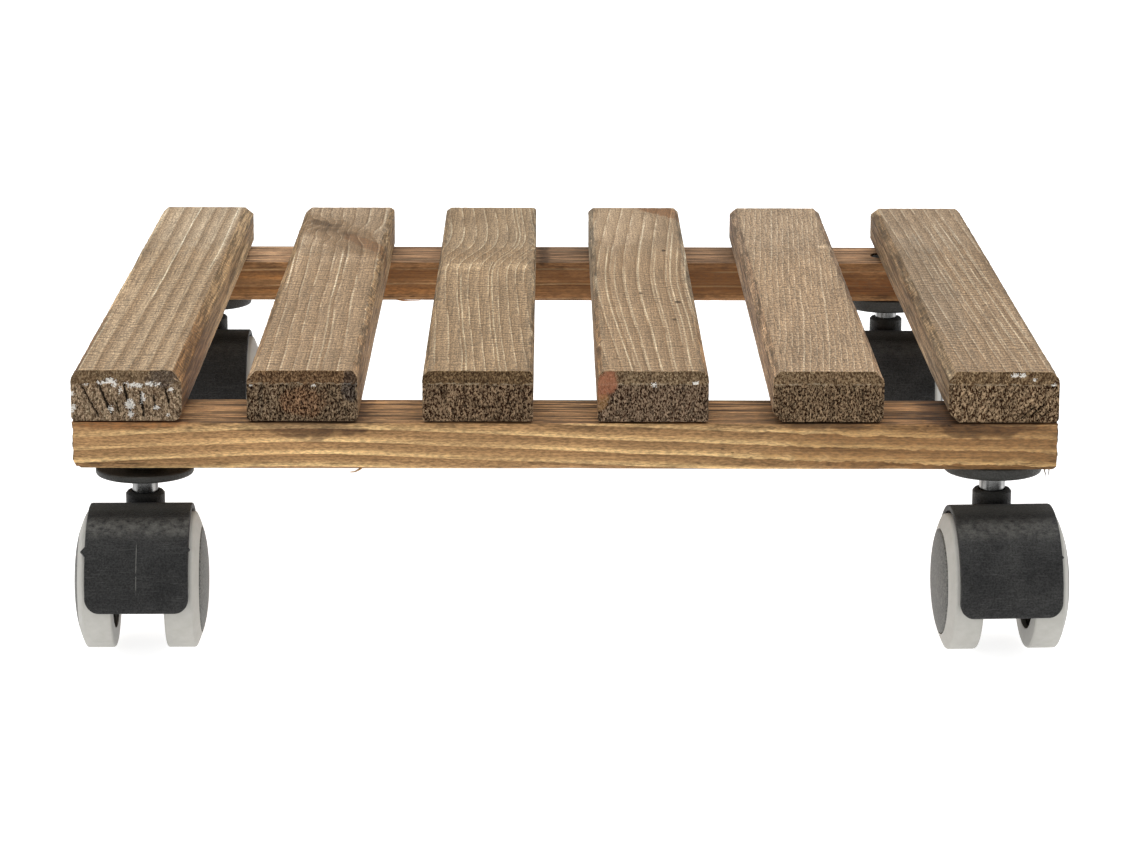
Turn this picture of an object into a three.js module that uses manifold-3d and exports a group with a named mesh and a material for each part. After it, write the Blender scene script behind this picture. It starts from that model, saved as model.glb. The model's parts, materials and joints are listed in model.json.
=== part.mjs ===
// A slatted wooden plant pot caddy on four swivelling twin-wheel casters.
//
// Millimetres, +Z up. X runs across the slats and Y along them, from the front (-Y) to the rear (+Y).
// The origin is on the floor, under the centre of the caddy's bounding box.
import * as THREE from 'three';
import { mergeVertices } from 'three/addons/utils/BufferGeometryUtils.js';
import Module from 'manifold-3d';

const wasm = await Module();
wasm.setup();

// ---------------------------------------------------------------- driving dimensions

// Clearance left between pieces that touch on the real object.
const GAP = 0.3;

// Deck: slats over two cross rails.
const DECK_WIDTH = 300;
const DECK_LENGTH = 300;
const DECK_UNDERSIDE = 55.4;
const SLAT_COUNT = 6;
const SLAT_WIDTH = 33.8;
const SLAT_THICKNESS = 15.25;
const SLAT_END_BEVEL = 3.5;
const SLAT_EDGE_CHAMFER = 2.3;
const SLAT_LOWER_CHAMFER = 1.2;
const RAIL_DEPTH = 33.5;
const RAIL_THICKNESS = 14.5;
const RAIL_CORNER_CHAMFER = 2.6;
const RAIL_EDGE_CHAMFER = 1.0;

// Wood screws, driven upwards through a rail into a slat.
const SCREW_HEAD_RADIUS = 3.5;
const SCREW_HEAD_HEIGHT = 2.4;
const SCREW_SHANK_RADIUS = 1.6;
const SCREW_LENGTH = 24;
const SCREW_TIP = 4;
const SCREW_SINK = 0.4;
const SCREW_RIM = 0.3;
const SCREW_SIDES = 8;
const RECESS_LENGTH = 3.6;
const RECESS_WIDTH = 0.9;
const RECESS_DEPTH = 1.4;
// At a corner the screw stands beside the sleeve, nearer the deck's side and the deck's middle.
const CORNER_SCREW_OUTWARD = 7.5;
const CORNER_SCREW_INWARD = 9.5;

// Plug-in sleeve: a flange under the rail and a barrel up inside it.
const FLANGE_RADIUS = 15.15;
const FLANGE_THICKNESS = 3.3;
const FLANGE_ROUNDING = 1.1;
const FLANGE_TOP_CHAMFER = 0.4;
const BARREL_RADIUS = 6;
const BARREL_CHAMFER = 0.8;
const BARREL_TOP = DECK_UNDERSIDE + RAIL_THICKNESS - 0.6;
const RING_POCKET_RADIUS = 5.1;
const SLEEVE_SIDES = 16;

// Stem: an 8 mm steel pin with a ring groove near its top.
const STEM_RADIUS = 4;
const STEM_TOP = BARREL_TOP - 1.4;
const STEM_CHAMFER = 0.7;
const STEM_SIDES = 16;
const GROOVE_RADIUS = 3.1;
const GROOVE_HEIGHT = 1.8;
const GROOVE_BELOW_TOP = 3.2;

// Split ring in the stem's groove.
const RING_INNER_RADIUS = GROOVE_RADIUS + GAP;
const RING_OUTER_RADIUS = RING_POCKET_RADIUS - GAP;
const RING_SLIT = 1.6;
const RING_STEPS = 14;

// Twin wheels. U is the distance along the axle from the caster's middle plane.
const WHEEL_RADIUS = 20.8;
const WHEEL_SIDES = 20;
const TREAD_INNER_FACE = 7.9;
const TREAD_SHOULDER = 16.6;
const TREAD_CHAMFER = 0.5;
const TREAD_LIP_RADIUS = 14.8;
const TREAD_LIP_THICKNESS = 1.6;
const DOME_APEX = 20.15;
const DOME_POWER = 2.9;
const DOME_EDGE_RADIUS = 15.85;
const TREAD_BORE_RADIUS = DOME_EDGE_RADIUS + GAP;
const CORE_WALL = 1.7;
const CORE_RECESS_RADIUS = 14.4;
const HUB_RADIUS = 4.6;
const HUB_INNER_FACE = 6.0;
const RECESS_FILLET = 3;

// Steel axle, shared by the two wheels of a caster.
const AXLE_RADIUS = 2;
const AXLE_HALF_LENGTH = 15.5;
const AXLE_CHAMFER = 0.4;
const AXLE_SIDES = 12;

// Housing: a hood over both wheels, a centre web and a neck round the stem. Angles are measured
// about the axle, from the caster's front towards its top.
const TRAIL = 17;
const HOOD_RADIUS = 23.4;
const HOOD_WALL = 1.8;
const HOOD_HALF_WIDTH = 15.6;
const HOOD_CORNER_RADIUS = 4.7;
const HOOD_FRONT_ANGLE = THREE.MathUtils.degToRad(-12.4);
const HOOD_REAR_ANGLE = THREE.MathUtils.degToRad(146);
const HOOD_STEPS = 16;
const HOOD_CORNER_STEPS = 4;
const WEB_HALF_WIDTH = 4.6;
const WEB_BELOW_AXLE = 7.6;
const WEB_FRONT_ANGLE = THREE.MathUtils.degToRad(24);
const WEB_TOE = 8;
const WEB_TOE_CHAMFER = 4;
const WEB_STEPS = 8;
const NECK_RADIUS = 6;
const NECK_TOP = 45.3;
const NECK_CHAMFER = 0.8;
const NECK_BOTTOM = 16;
const NECK_SIDES = 16;
const SOCKET_BOTTOM = 24;

// Where each caster stands: its stem's place, measured from the deck's centre, how far it is
// turned about the stem, and how far its sleeve hangs below the rail.
const CASTERS = [
  { name: 'front_left', x: -129.6, y: -133, turn: 1.0, seat: 1.5 },
  { name: 'front_right', x: 132.0, y: -133, turn: 3.5, seat: GAP },
  { name: 'rear_left', x: -131.4, y: 133, turn: 0.0, seat: GAP },
  { name: 'rear_right', x: 121.4, y: 133, turn: -0.5, seat: GAP },
];

// ---------------------------------------------------------------- materials

const FINISHES = {
  slat_wood: { color: 0x8d7761, roughness: 0.85, metalness: 0 },
  rail_wood: { color: 0x9a7040, roughness: 0.8, metalness: 0 },
  steel: { color: 0xb9bcbf, roughness: 0.28, metalness: 1 },
  black_plastic: { color: 0x2a2b2c, roughness: 0.55, metalness: 0 },
  grey_plastic: { color: 0x67696a, roughness: 0.5, metalness: 0 },
  grey_rubber: { color: 0xbdbbb3, roughness: 0.6, metalness: 0 },
};

function makeMaterial(finish) {
  return new THREE.MeshStandardMaterial(FINISHES[finish]);
}

// ---------------------------------------------------------------- solids

function toSolid(geometry) {
  const bare = geometry.index ? geometry.toNonIndexed() : geometry.clone();
  bare.deleteAttribute('normal');
  bare.deleteAttribute('uv');
  const merged = mergeVertices(bare, 1e-4);
  return new wasm.Manifold(new wasm.Mesh({
    numProp: 3,
    vertProperties: new Float32Array(merged.attributes.position.array),
    triVerts: new Uint32Array(merged.index.array),
  }));
}

function toGeometry(solid) {
  const mesh = solid.getMesh();
  const geometry = new THREE.BufferGeometry();
  geometry.setAttribute('position', new THREE.BufferAttribute(mesh.vertProperties, 3));
  geometry.setIndex(new THREE.BufferAttribute(mesh.triVerts, 1));
  geometry.computeVertexNormals();
  return geometry;
}

function nodeMesh(name, finish, solid) {
  const mesh = new THREE.Mesh(toGeometry(solid), makeMaterial(finish));
  mesh.name = name;
  return mesh;
}

function shapeOf(points) {
  return new THREE.Shape(points.map(([x, y]) => new THREE.Vector2(x, y)));
}

// An outline given as [y, z] points, extruded along X and centred on X = 0.
function prismAlongX(outline, width) {
  const geometry = new THREE.ExtrudeGeometry(shapeOf(outline), { depth: width, bevelEnabled: false });
  geometry.translate(0, 0, -width / 2);
  geometry.rotateX(Math.PI / 2);
  geometry.rotateZ(Math.PI / 2);
  return toSolid(geometry);
}

// An outline given as [x, z] points, extruded along Y and centred on Y = 0.
function prismAlongY(outline, length) {
  const geometry = new THREE.ExtrudeGeometry(shapeOf(outline), { depth: length, bevelEnabled: false });
  geometry.translate(0, 0, -length / 2);
  geometry.rotateX(Math.PI / 2);
  return toSolid(geometry);
}

// A profile given as [radius, z] points, turned about Z. The points run upwards on the outside.
// The turned shape has a flat, not a corner, on each axis, and its flats touch the given radii.
function turned(profile, sides) {
  const toCorner = 1 / Math.cos(Math.PI / sides);
  const points = profile.map(([radius, z]) => new THREE.Vector2(radius * toCorner, z));
  const geometry = new THREE.LatheGeometry(points, sides, Math.PI / sides);
  geometry.rotateX(Math.PI / 2);
  return toSolid(geometry);
}

// A turned shape laid along the axle, with its Z pointing to +X.
function turnedAlongX(profile, sides) {
  return turned(profile, sides).rotate([0, 90, 0]);
}

function box(width, depth, height, x, y, z) {
  const geometry = new THREE.BoxGeometry(width, depth, height);
  geometry.translate(x, y, z);
  return toSolid(geometry);
}

// A plain cylinder about Z between two heights.
function bore(radius, bottom, top, sides) {
  return turned([[0, bottom], [radius, bottom], [radius, top], [0, top]], sides);
}

// ---------------------------------------------------------------- deck

const RAIL_TOP = DECK_UNDERSIDE + RAIL_THICKNESS;
const SLAT_BOTTOM = RAIL_TOP + GAP;
const DECK_TOP = SLAT_BOTTOM + SLAT_THICKNESS;
const RAIL_CENTRE = (DECK_LENGTH - RAIL_DEPTH) / 2;

function slatCentre(index) {
  const pitch = (DECK_WIDTH - SLAT_WIDTH) / (SLAT_COUNT - 1);
  return pitch * (index - (SLAT_COUNT - 1) / 2);
}

function screwProfile(clearance) {
  const head = SCREW_HEAD_RADIUS + clearance;
  const shank = SCREW_SHANK_RADIUS + clearance;
  const base = DECK_UNDERSIDE + SCREW_SINK;
  const tip = base + SCREW_LENGTH + clearance;
  const start = clearance > 0 ? DECK_UNDERSIDE - 1 : base;
  return [
    [0, start],
    [head, start],
    [head, base + SCREW_RIM],
    [shank, base + SCREW_HEAD_HEIGHT],
    [shank, tip - SCREW_TIP],
    [0, tip],
  ];
}

// One screw for each crossing of a slat and a rail, at its middle except at the four corners.
function screwPlaces() {
  const places = [];
  for (const [rail, end] of [['front', -1], ['rear', 1]]) {
    for (let index = 0; index < SLAT_COUNT; index += 1) {
      const atCorner = index === 0 || index === SLAT_COUNT - 1;
      const x = slatCentre(index);
      places.push({
        name: `${rail}_screw_${index + 1}`,
        x: x + (atCorner ? Math.sign(x) * CORNER_SCREW_OUTWARD : 0),
        y: end * (RAIL_CENTRE - (atCorner ? CORNER_SCREW_INWARD : 0)),
      });
    }
  }
  return places;
}

function makeScrew(place) {
  const base = DECK_UNDERSIDE + SCREW_SINK;
  const lengthwise = box(RECESS_LENGTH, RECESS_WIDTH, 2 * RECESS_DEPTH, 0, 0, base);
  const crosswise = box(RECESS_WIDTH, RECESS_LENGTH, 2 * RECESS_DEPTH, 0, 0, base);
  const solid = turned(screwProfile(0), SCREW_SIDES).subtract(lengthwise.add(crosswise));
  const mesh = nodeMesh(place.name, 'steel', solid);
  mesh.position.set(place.x, place.y, 0);
  return mesh;
}

function cutScrewHoles(solid, places) {
  let result = solid;
  for (const place of places) {
    result = result.subtract(turned(screwProfile(GAP), SCREW_SIDES).translate([place.x, place.y, 0]));
  }
  return result;
}

function makeSlat(index, places) {
  const x = slatCentre(index);
  const half = SLAT_WIDTH / 2;
  const end = DECK_LENGTH / 2;
  const section = prismAlongY([
    [-half + SLAT_LOWER_CHAMFER, SLAT_BOTTOM],
    [half - SLAT_LOWER_CHAMFER, SLAT_BOTTOM],
    [half, SLAT_BOTTOM + SLAT_LOWER_CHAMFER],
    [half, DECK_TOP - SLAT_EDGE_CHAMFER],
    [half - SLAT_EDGE_CHAMFER, DECK_TOP],
    [-half + SLAT_EDGE_CHAMFER, DECK_TOP],
    [-half, DECK_TOP - SLAT_EDGE_CHAMFER],
    [-half, SLAT_BOTTOM + SLAT_LOWER_CHAMFER],
  ], DECK_LENGTH);
  const sideView = prismAlongX([
    [-end, SLAT_BOTTOM - 1],
    [end, SLAT_BOTTOM - 1],
    [end, DECK_TOP - SLAT_END_BEVEL],
    [end - SLAT_END_BEVEL, DECK_TOP],
    [-end + SLAT_END_BEVEL, DECK_TOP],
    [-end, DECK_TOP - SLAT_END_BEVEL],
  ], SLAT_WIDTH + 2);
  const ownPlaces = places.filter((place) => Math.abs(place.x - x) < half);
  const solid = cutScrewHoles(section.intersect(sideView).translate([x, 0, 0]), ownPlaces);
  return nodeMesh(`slat_${index + 1}`, 'slat_wood', solid);
}

function makeRail(name, y, places) {
  const half = DECK_WIDTH / 2;
  const front = y - RAIL_DEPTH / 2;
  const back = y + RAIL_DEPTH / 2;
  const length = prismAlongY([
    [-half + RAIL_CORNER_CHAMFER, DECK_UNDERSIDE],
    [half - RAIL_CORNER_CHAMFER, DECK_UNDERSIDE],
    [half, DECK_UNDERSIDE + RAIL_CORNER_CHAMFER],
    [half, RAIL_TOP],
    [-half, RAIL_TOP],
    [-half, DECK_UNDERSIDE + RAIL_CORNER_CHAMFER],
  ], DECK_LENGTH + 2);
  const section = prismAlongX([
    [front + RAIL_EDGE_CHAMFER, DECK_UNDERSIDE],
    [back - RAIL_EDGE_CHAMFER, DECK_UNDERSIDE],
    [back, DECK_UNDERSIDE + RAIL_EDGE_CHAMFER],
    [back, RAIL_TOP],
    [front, RAIL_TOP],
    [front, DECK_UNDERSIDE + RAIL_EDGE_CHAMFER],
  ], DECK_WIDTH + 2);
  const ownPlaces = places.filter((place) => Math.abs(place.y - y) < RAIL_DEPTH / 2);
  let solid = cutScrewHoles(length.intersect(section), ownPlaces);
  for (const caster of CASTERS.filter((c) => Math.abs(c.y - y) < RAIL_DEPTH / 2)) {
    const hole = bore(BARREL_RADIUS + GAP, DECK_UNDERSIDE - 1, RAIL_TOP + 1, SLEEVE_SIDES);
    solid = solid.subtract(hole.translate([caster.x, caster.y, 0]));
  }
  return nodeMesh(name, 'rail_wood', solid);
}

function makeDeck() {
  const deck = new THREE.Group();
  const places = screwPlaces();
  for (let index = 0; index < SLAT_COUNT; index += 1) {
    deck.add(makeSlat(index, places));
  }
  deck.add(makeRail('front_rail', -RAIL_CENTRE, places));
  deck.add(makeRail('rear_rail', RAIL_CENTRE, places));
  for (const place of places) {
    deck.add(makeScrew(place));
  }
  return deck;
}

// ---------------------------------------------------------------- caster, fixed to the deck

function makeSleeve(caster) {
  const flangeTop = DECK_UNDERSIDE - caster.seat;
  const flangeBottom = flangeTop - FLANGE_THICKNESS;
  const round = FLANGE_ROUNDING;
  const boreRadius = STEM_RADIUS + GAP;
  const pocketTop = STEM_TOP - GROOVE_BELOW_TOP + GROOVE_HEIGHT + GAP;
  const pocketBottom = STEM_TOP - GROOVE_BELOW_TOP - GAP;
  const outside = turned([
    [0, flangeBottom],
    [FLANGE_RADIUS - round, flangeBottom],
    [FLANGE_RADIUS - 0.3 * round, flangeBottom + 0.3 * round],
    [FLANGE_RADIUS, flangeBottom + round],
    [FLANGE_RADIUS, flangeTop - FLANGE_TOP_CHAMFER],
    [FLANGE_RADIUS - FLANGE_TOP_CHAMFER, flangeTop],
    [BARREL_RADIUS, flangeTop],
    [BARREL_RADIUS, BARREL_TOP - BARREL_CHAMFER],
    [BARREL_RADIUS - BARREL_CHAMFER, BARREL_TOP],
    [0, BARREL_TOP],
  ], SLEEVE_SIDES);
  const inside = turned([
    [0, flangeBottom - 1],
    [boreRadius, flangeBottom - 1],
    [boreRadius, pocketBottom],
    [RING_POCKET_RADIUS, pocketBottom],
    [RING_POCKET_RADIUS, pocketTop],
    [boreRadius, pocketTop],
    [boreRadius, STEM_TOP + GAP],
    [0, STEM_TOP + GAP],
  ], SLEEVE_SIDES);
  return nodeMesh(`${caster.name}_sleeve`, 'black_plastic', outside.subtract(inside));
}

function makeStem(caster) {
  const bottom = SOCKET_BOTTOM + GAP;
  const groove = STEM_TOP - GROOVE_BELOW_TOP;
  const solid = turned([
    [0, bottom],
    [STEM_RADIUS - STEM_CHAMFER, bottom],
    [STEM_RADIUS, bottom + STEM_CHAMFER],
    [STEM_RADIUS, groove],
    [GROOVE_RADIUS, groove],
    [GROOVE_RADIUS, groove + GROOVE_HEIGHT],
    [STEM_RADIUS, groove + GROOVE_HEIGHT],
    [STEM_RADIUS, STEM_TOP - STEM_CHAMFER],
    [STEM_RADIUS - STEM_CHAMFER, STEM_TOP],
    [0, STEM_TOP],
  ], STEM_SIDES);
  return nodeMesh(`${caster.name}_stem`, 'steel', solid);
}

// The ring is an open C: an outer arc one way and an inner arc back.
function makeGripRing(caster) {
  const slit = Math.asin(RING_SLIT / (2 * RING_OUTER_RADIUS));
  const outline = [];
  for (let step = 0; step <= RING_STEPS; step += 1) {
    const angle = slit + (2 * Math.PI - 2 * slit) * (step / RING_STEPS);
    outline.push([RING_OUTER_RADIUS * Math.cos(angle), RING_OUTER_RADIUS * Math.sin(angle)]);
  }
  for (let step = RING_STEPS; step >= 0; step -= 1) {
    const angle = slit + (2 * Math.PI - 2 * slit) * (step / RING_STEPS);
    outline.push([RING_INNER_RADIUS * Math.cos(angle), RING_INNER_RADIUS * Math.sin(angle)]);
  }
  const height = GROOVE_HEIGHT - 2 * GAP;
  const geometry = new THREE.ExtrudeGeometry(shapeOf(outline), { depth: height, bevelEnabled: false });
  geometry.translate(0, 0, STEM_TOP - GROOVE_BELOW_TOP + GAP);
  return nodeMesh(`${caster.name}_grip_ring`, 'steel', toSolid(geometry));
}

// ---------------------------------------------------------------- caster, swivelling

// Points on an arc about the axle, as [y, z] from the axle. The caster's front is -Y.
function arcAboutAxle(radius, fromAngle, toAngle, steps) {
  const points = [];
  for (let step = 0; step <= steps; step += 1) {
    const angle = fromAngle + (toAngle - fromAngle) * (step / steps);
    points.push([-radius * Math.cos(angle), radius * Math.sin(angle)]);
  }
  return points;
}

// The hood's front view, as [x, z] from the axle: square at the top, rounded at the lower corners.
function hoodFrontView() {
  const bottom = HOOD_RADIUS * Math.sin(HOOD_FRONT_ANGLE);
  const outline = [[-HOOD_HALF_WIDTH, HOOD_RADIUS + 1]];
  for (const side of [-1, 1]) {
    const centre = side * (HOOD_HALF_WIDTH - HOOD_CORNER_RADIUS);
    for (let step = 0; step <= HOOD_CORNER_STEPS; step += 1) {
      const start = side < 0 ? Math.PI : 1.5 * Math.PI;
      const angle = start + (Math.PI / 2) * (step / HOOD_CORNER_STEPS);
      outline.push([
        centre + HOOD_CORNER_RADIUS * Math.cos(angle),
        bottom + HOOD_CORNER_RADIUS + HOOD_CORNER_RADIUS * Math.sin(angle),
      ]);
    }
  }
  outline.push([HOOD_HALF_WIDTH, HOOD_RADIUS + 1]);
  return outline;
}

function makeHood() {
  const outer = arcAboutAxle(HOOD_RADIUS, HOOD_FRONT_ANGLE, HOOD_REAR_ANGLE, HOOD_STEPS);
  const inner = arcAboutAxle(HOOD_RADIUS - HOOD_WALL, HOOD_REAR_ANGLE, HOOD_FRONT_ANGLE, HOOD_STEPS);
  const shell = prismAlongX([...outer, ...inner].reverse(), 2 * HOOD_HALF_WIDTH);
  return shell.intersect(prismAlongY(hoodFrontView(), 4 * HOOD_RADIUS));
}

// The web fills the hood's middle, from its front wall back to the neck.
function makeWeb() {
  const radius = HOOD_RADIUS - HOOD_WALL / 2;
  const top = arcAboutAxle(radius, WEB_FRONT_ANGLE, HOOD_REAR_ANGLE, WEB_STEPS);
  const outline = [
    ...top.reverse(),
    [-WEB_TOE, -WEB_BELOW_AXLE + WEB_TOE_CHAMFER],
    [-WEB_TOE + WEB_TOE_CHAMFER, -WEB_BELOW_AXLE],
    [TRAIL, -WEB_BELOW_AXLE],
  ];
  return prismAlongX(outline, 2 * WEB_HALF_WIDTH);
}

function makeHousing(caster) {
  const neck = turned([
    [0, NECK_BOTTOM],
    [NECK_RADIUS - NECK_CHAMFER, NECK_BOTTOM],
    [NECK_RADIUS, NECK_BOTTOM + NECK_CHAMFER],
    [NECK_RADIUS, NECK_TOP - NECK_CHAMFER],
    [NECK_RADIUS - NECK_CHAMFER, NECK_TOP],
    [0, NECK_TOP],
  ], NECK_SIDES);
  const socket = bore(STEM_RADIUS + GAP, SOCKET_BOTTOM, NECK_TOP + 1, STEM_SIDES);
  const axleHole = turnedAlongX([
    [0, -HOOD_HALF_WIDTH],
    [AXLE_RADIUS + GAP, -HOOD_HALF_WIDTH],
    [AXLE_RADIUS + GAP, HOOD_HALF_WIDTH],
    [0, HOOD_HALF_WIDTH],
  ], AXLE_SIDES);
  const aboutAxle = makeHood().add(makeWeb()).subtract(axleHole);
  const solid = aboutAxle.translate([0, -TRAIL, WHEEL_RADIUS]).add(neck).subtract(socket);
  return nodeMesh(`${caster.name}_housing`, 'black_plastic', solid);
}

function makeAxle(caster) {
  const end = AXLE_HALF_LENGTH;
  const solid = turnedAlongX([
    [0, -end],
    [AXLE_RADIUS - AXLE_CHAMFER, -end],
    [AXLE_RADIUS, -end + AXLE_CHAMFER],
    [AXLE_RADIUS, end - AXLE_CHAMFER],
    [AXLE_RADIUS - AXLE_CHAMFER, end],
    [0, end],
  ], AXLE_SIDES);
  const mesh = nodeMesh(`${caster.name}_axle`, 'steel', solid);
  mesh.position.set(0, -TRAIL, WHEEL_RADIUS);
  return mesh;
}

// ---------------------------------------------------------------- wheels

// How far out the domed face stands at a radius.
function domeHeight(radius) {
  const drop = DOME_APEX - TREAD_SHOULDER;
  return DOME_APEX - drop * (radius / WHEEL_RADIUS) ** DOME_POWER;
}

function coreProfile() {
  const edge = DOME_EDGE_RADIUS;
  const recessFloor = DOME_APEX - CORE_WALL;
  const boreFloor = AXLE_HALF_LENGTH + GAP;
  const rimEdge = TREAD_INNER_FACE + TREAD_LIP_THICKNESS + GAP;
  return [
    [0, boreFloor],
    [AXLE_RADIUS + GAP, boreFloor],
    [AXLE_RADIUS + GAP, HUB_INNER_FACE],
    [HUB_RADIUS, HUB_INNER_FACE],
    [HUB_RADIUS, recessFloor],
    [CORE_RECESS_RADIUS - RECESS_FILLET, recessFloor - RECESS_FILLET / 6],
    [CORE_RECESS_RADIUS, recessFloor - RECESS_FILLET],
    [CORE_RECESS_RADIUS, rimEdge],
    [edge, rimEdge],
    [edge, domeHeight(edge)],
    [0.72 * edge, domeHeight(0.72 * edge)],
    [0.4 * edge, domeHeight(0.4 * edge)],
    [0, DOME_APEX],
  ];
}

function treadProfile() {
  const inner = TREAD_INNER_FACE;
  const shoulder = 0.5 * (WHEEL_RADIUS + DOME_EDGE_RADIUS);
  return [
    [TREAD_LIP_RADIUS, inner],
    [WHEEL_RADIUS - TREAD_CHAMFER, inner],
    [WHEEL_RADIUS, inner + TREAD_CHAMFER],
    [WHEEL_RADIUS, TREAD_SHOULDER - 0.3],
    [shoulder, domeHeight(shoulder)],
    [TREAD_BORE_RADIUS, domeHeight(TREAD_BORE_RADIUS)],
    [TREAD_BORE_RADIUS, inner + TREAD_LIP_THICKNESS],
    [TREAD_LIP_RADIUS, inner + TREAD_LIP_THICKNESS],
    [TREAD_LIP_RADIUS, inner],
  ];
}

function makeWheel(caster, side) {
  const wheel = new THREE.Group();
  const name = `${caster.name}_${side < 0 ? 'left' : 'right'}`;
  wheel.add(nodeMesh(`${name}_core`, 'grey_plastic', turnedAlongX(coreProfile(), WHEEL_SIDES)));
  wheel.add(nodeMesh(`${name}_tread`, 'grey_rubber', turnedAlongX(treadProfile(), WHEEL_SIDES)));
  wheel.position.set(0, -TRAIL, WHEEL_RADIUS);
  wheel.rotation.z = side < 0 ? Math.PI : 0;
  return wheel;
}

function makeCaster(caster) {
  const group = new THREE.Group();
  group.add(makeSleeve(caster));
  group.add(makeStem(caster));
  group.add(makeGripRing(caster));
  group.add(makeHousing(caster));
  group.add(makeAxle(caster));
  group.add(makeWheel(caster, -1));
  group.add(makeWheel(caster, 1));
  group.position.set(caster.x, caster.y, 0);
  group.rotation.z = THREE.MathUtils.degToRad(caster.turn);
  return group;
}

// ---------------------------------------------------------------- assembly

function makeCaddy() {
  const caddy = new THREE.Group();
  caddy.add(makeDeck());
  for (const caster of CASTERS) {
    caddy.add(makeCaster(caster));
  }
  caddy.updateMatrixWorld(true);
  const bounds = new THREE.Box3().setFromObject(caddy, true);
  const centre = bounds.getCenter(new THREE.Vector3());
  caddy.position.set(-centre.x, -centre.y, -bounds.min.z);
  const origin = new THREE.Group();
  origin.add(caddy);
  return origin;
}

export default makeCaddy();
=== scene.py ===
import json
import math

import bmesh
import bpy
import numpy as np
from mathutils import Matrix, Vector


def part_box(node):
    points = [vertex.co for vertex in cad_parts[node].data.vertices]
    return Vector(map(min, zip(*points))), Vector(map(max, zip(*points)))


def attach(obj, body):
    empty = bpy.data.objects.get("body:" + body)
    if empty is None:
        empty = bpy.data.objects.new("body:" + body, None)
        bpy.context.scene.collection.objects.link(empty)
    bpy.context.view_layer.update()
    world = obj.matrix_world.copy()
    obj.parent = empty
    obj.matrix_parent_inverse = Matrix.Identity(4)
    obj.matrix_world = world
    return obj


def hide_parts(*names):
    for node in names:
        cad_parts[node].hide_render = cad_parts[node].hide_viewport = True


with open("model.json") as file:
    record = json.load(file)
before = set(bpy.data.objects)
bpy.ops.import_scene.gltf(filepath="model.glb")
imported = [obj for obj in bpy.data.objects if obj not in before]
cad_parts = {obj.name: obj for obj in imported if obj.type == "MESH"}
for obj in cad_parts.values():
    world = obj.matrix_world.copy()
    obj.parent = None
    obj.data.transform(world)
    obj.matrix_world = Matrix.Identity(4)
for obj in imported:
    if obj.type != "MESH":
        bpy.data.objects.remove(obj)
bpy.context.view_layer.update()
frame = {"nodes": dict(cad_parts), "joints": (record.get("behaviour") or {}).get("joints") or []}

MM = 0.001

CASTERS = ("front_left", "front_right", "rear_left", "rear_right")
SIDES = ("left", "right")
# Edges sharper than this many degrees are shaded as edges, on moulded and turned pieces and on planks.
PIECE_CREASE = 35
PLANK_CREASE = 50
# The clearance between pieces that fit in each other.
GAP = 0.3

# Planks
X, Y, Z = 0, 1, 2
PLANK_FINE = 0.55
PLANK_COARSE = 2.0
SLAT_END_BEVEL = 3.5
RAIL_EDGE_CHAMFER = 1.0
CORNER_EASE = 0.35
END_ROUGHNESS = 0.32
BOX_MARGIN = 0.01
FACE_ROUGHNESS = 0.10
# How far in from a plank's ends, and from its other edges, the mesh is fine.
END_FINE_REACH = 6.0
EDGE_FINE_REACH = 2.9
CHIP_DEPTH = 0.45
CRACK_DEPTH = 0.8
WORN_EDGE_REACH = 2.2
WORN_EDGE_FADE = 0.9
RAIL_LEFT_CHAMFER = 2.6
RAIL_RIGHT_CHAMFER = 1.2
SLAT_SEED = 100
RAIL_SEED = 200
SEED_STEP = 10
SLAT_NUMBERS = range(1, 7)

# Screws
SCREW_HEAD_RADIUS = 3.5
SCREW_SHANK_RADIUS = 1.6
SCREW_HEAD_HEIGHT = 2.4
SCREW_TIP = 4.0
SCREW_RIM = 0.3
SCREW_SIDES = 40
SCREW_HOLE_SIDES = 24
# How far a screw hole's cutter starts below the screw, so that it passes the plank's skin.
SCREW_CUT_BELOW = 3.0
# Each screw is turned a little further than the one before, and the rear row by this much more.
SCREW_TURN = 0.7
REAR_ROW_TURN = 0.4
RECESS_LENGTH = 3.6
RECESS_WIDTH = 0.9
RECESS_DEPTH = 1.4

# Sleeve and stem
FLANGE_RADIUS = 15.1
# The flange's underside: a boss round the stem, a shallow groove and a rim, and their sloping sides.
FLANGE_BOSS_WIDTH = 2.6
FLANGE_BOSS_SLOPE = 0.4
FLANGE_RIM_WIDTH = 3.2
FLANGE_RIM_SLOPE = 0.6
FLANGE_RELIEF = 0.5
# How far each flange's underside hangs below the CAD one, and how thick each flange is.
SLEEVE_SAG = {"front_left": 0.5, "front_right": 0.4, "rear_left": 0.7, "rear_right": 1.2}
FLANGE_THICKNESSES = {"front_left": 2.3, "front_right": 3.7, "rear_left": 4.0, "rear_right": 4.5}
BARREL_RADIUS = 6.0
STEM_RADIUS = 4.0
STEM_EASE = 0.7
STEM_BORE_RADIUS = STEM_RADIUS + GAP
GROOVE_RADIUS = 3.1
POCKET_RADIUS = 5.1
SLEEVE_HOLE_SIDES = 48
# Below the stem's top: the ends of the sleeve's ring pocket and of the stem's groove.
POCKET_REACH = (1.1, 3.5)
GROOVE_REACH = (1.4, 3.2)
ROUND_SIDES = 96

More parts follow.
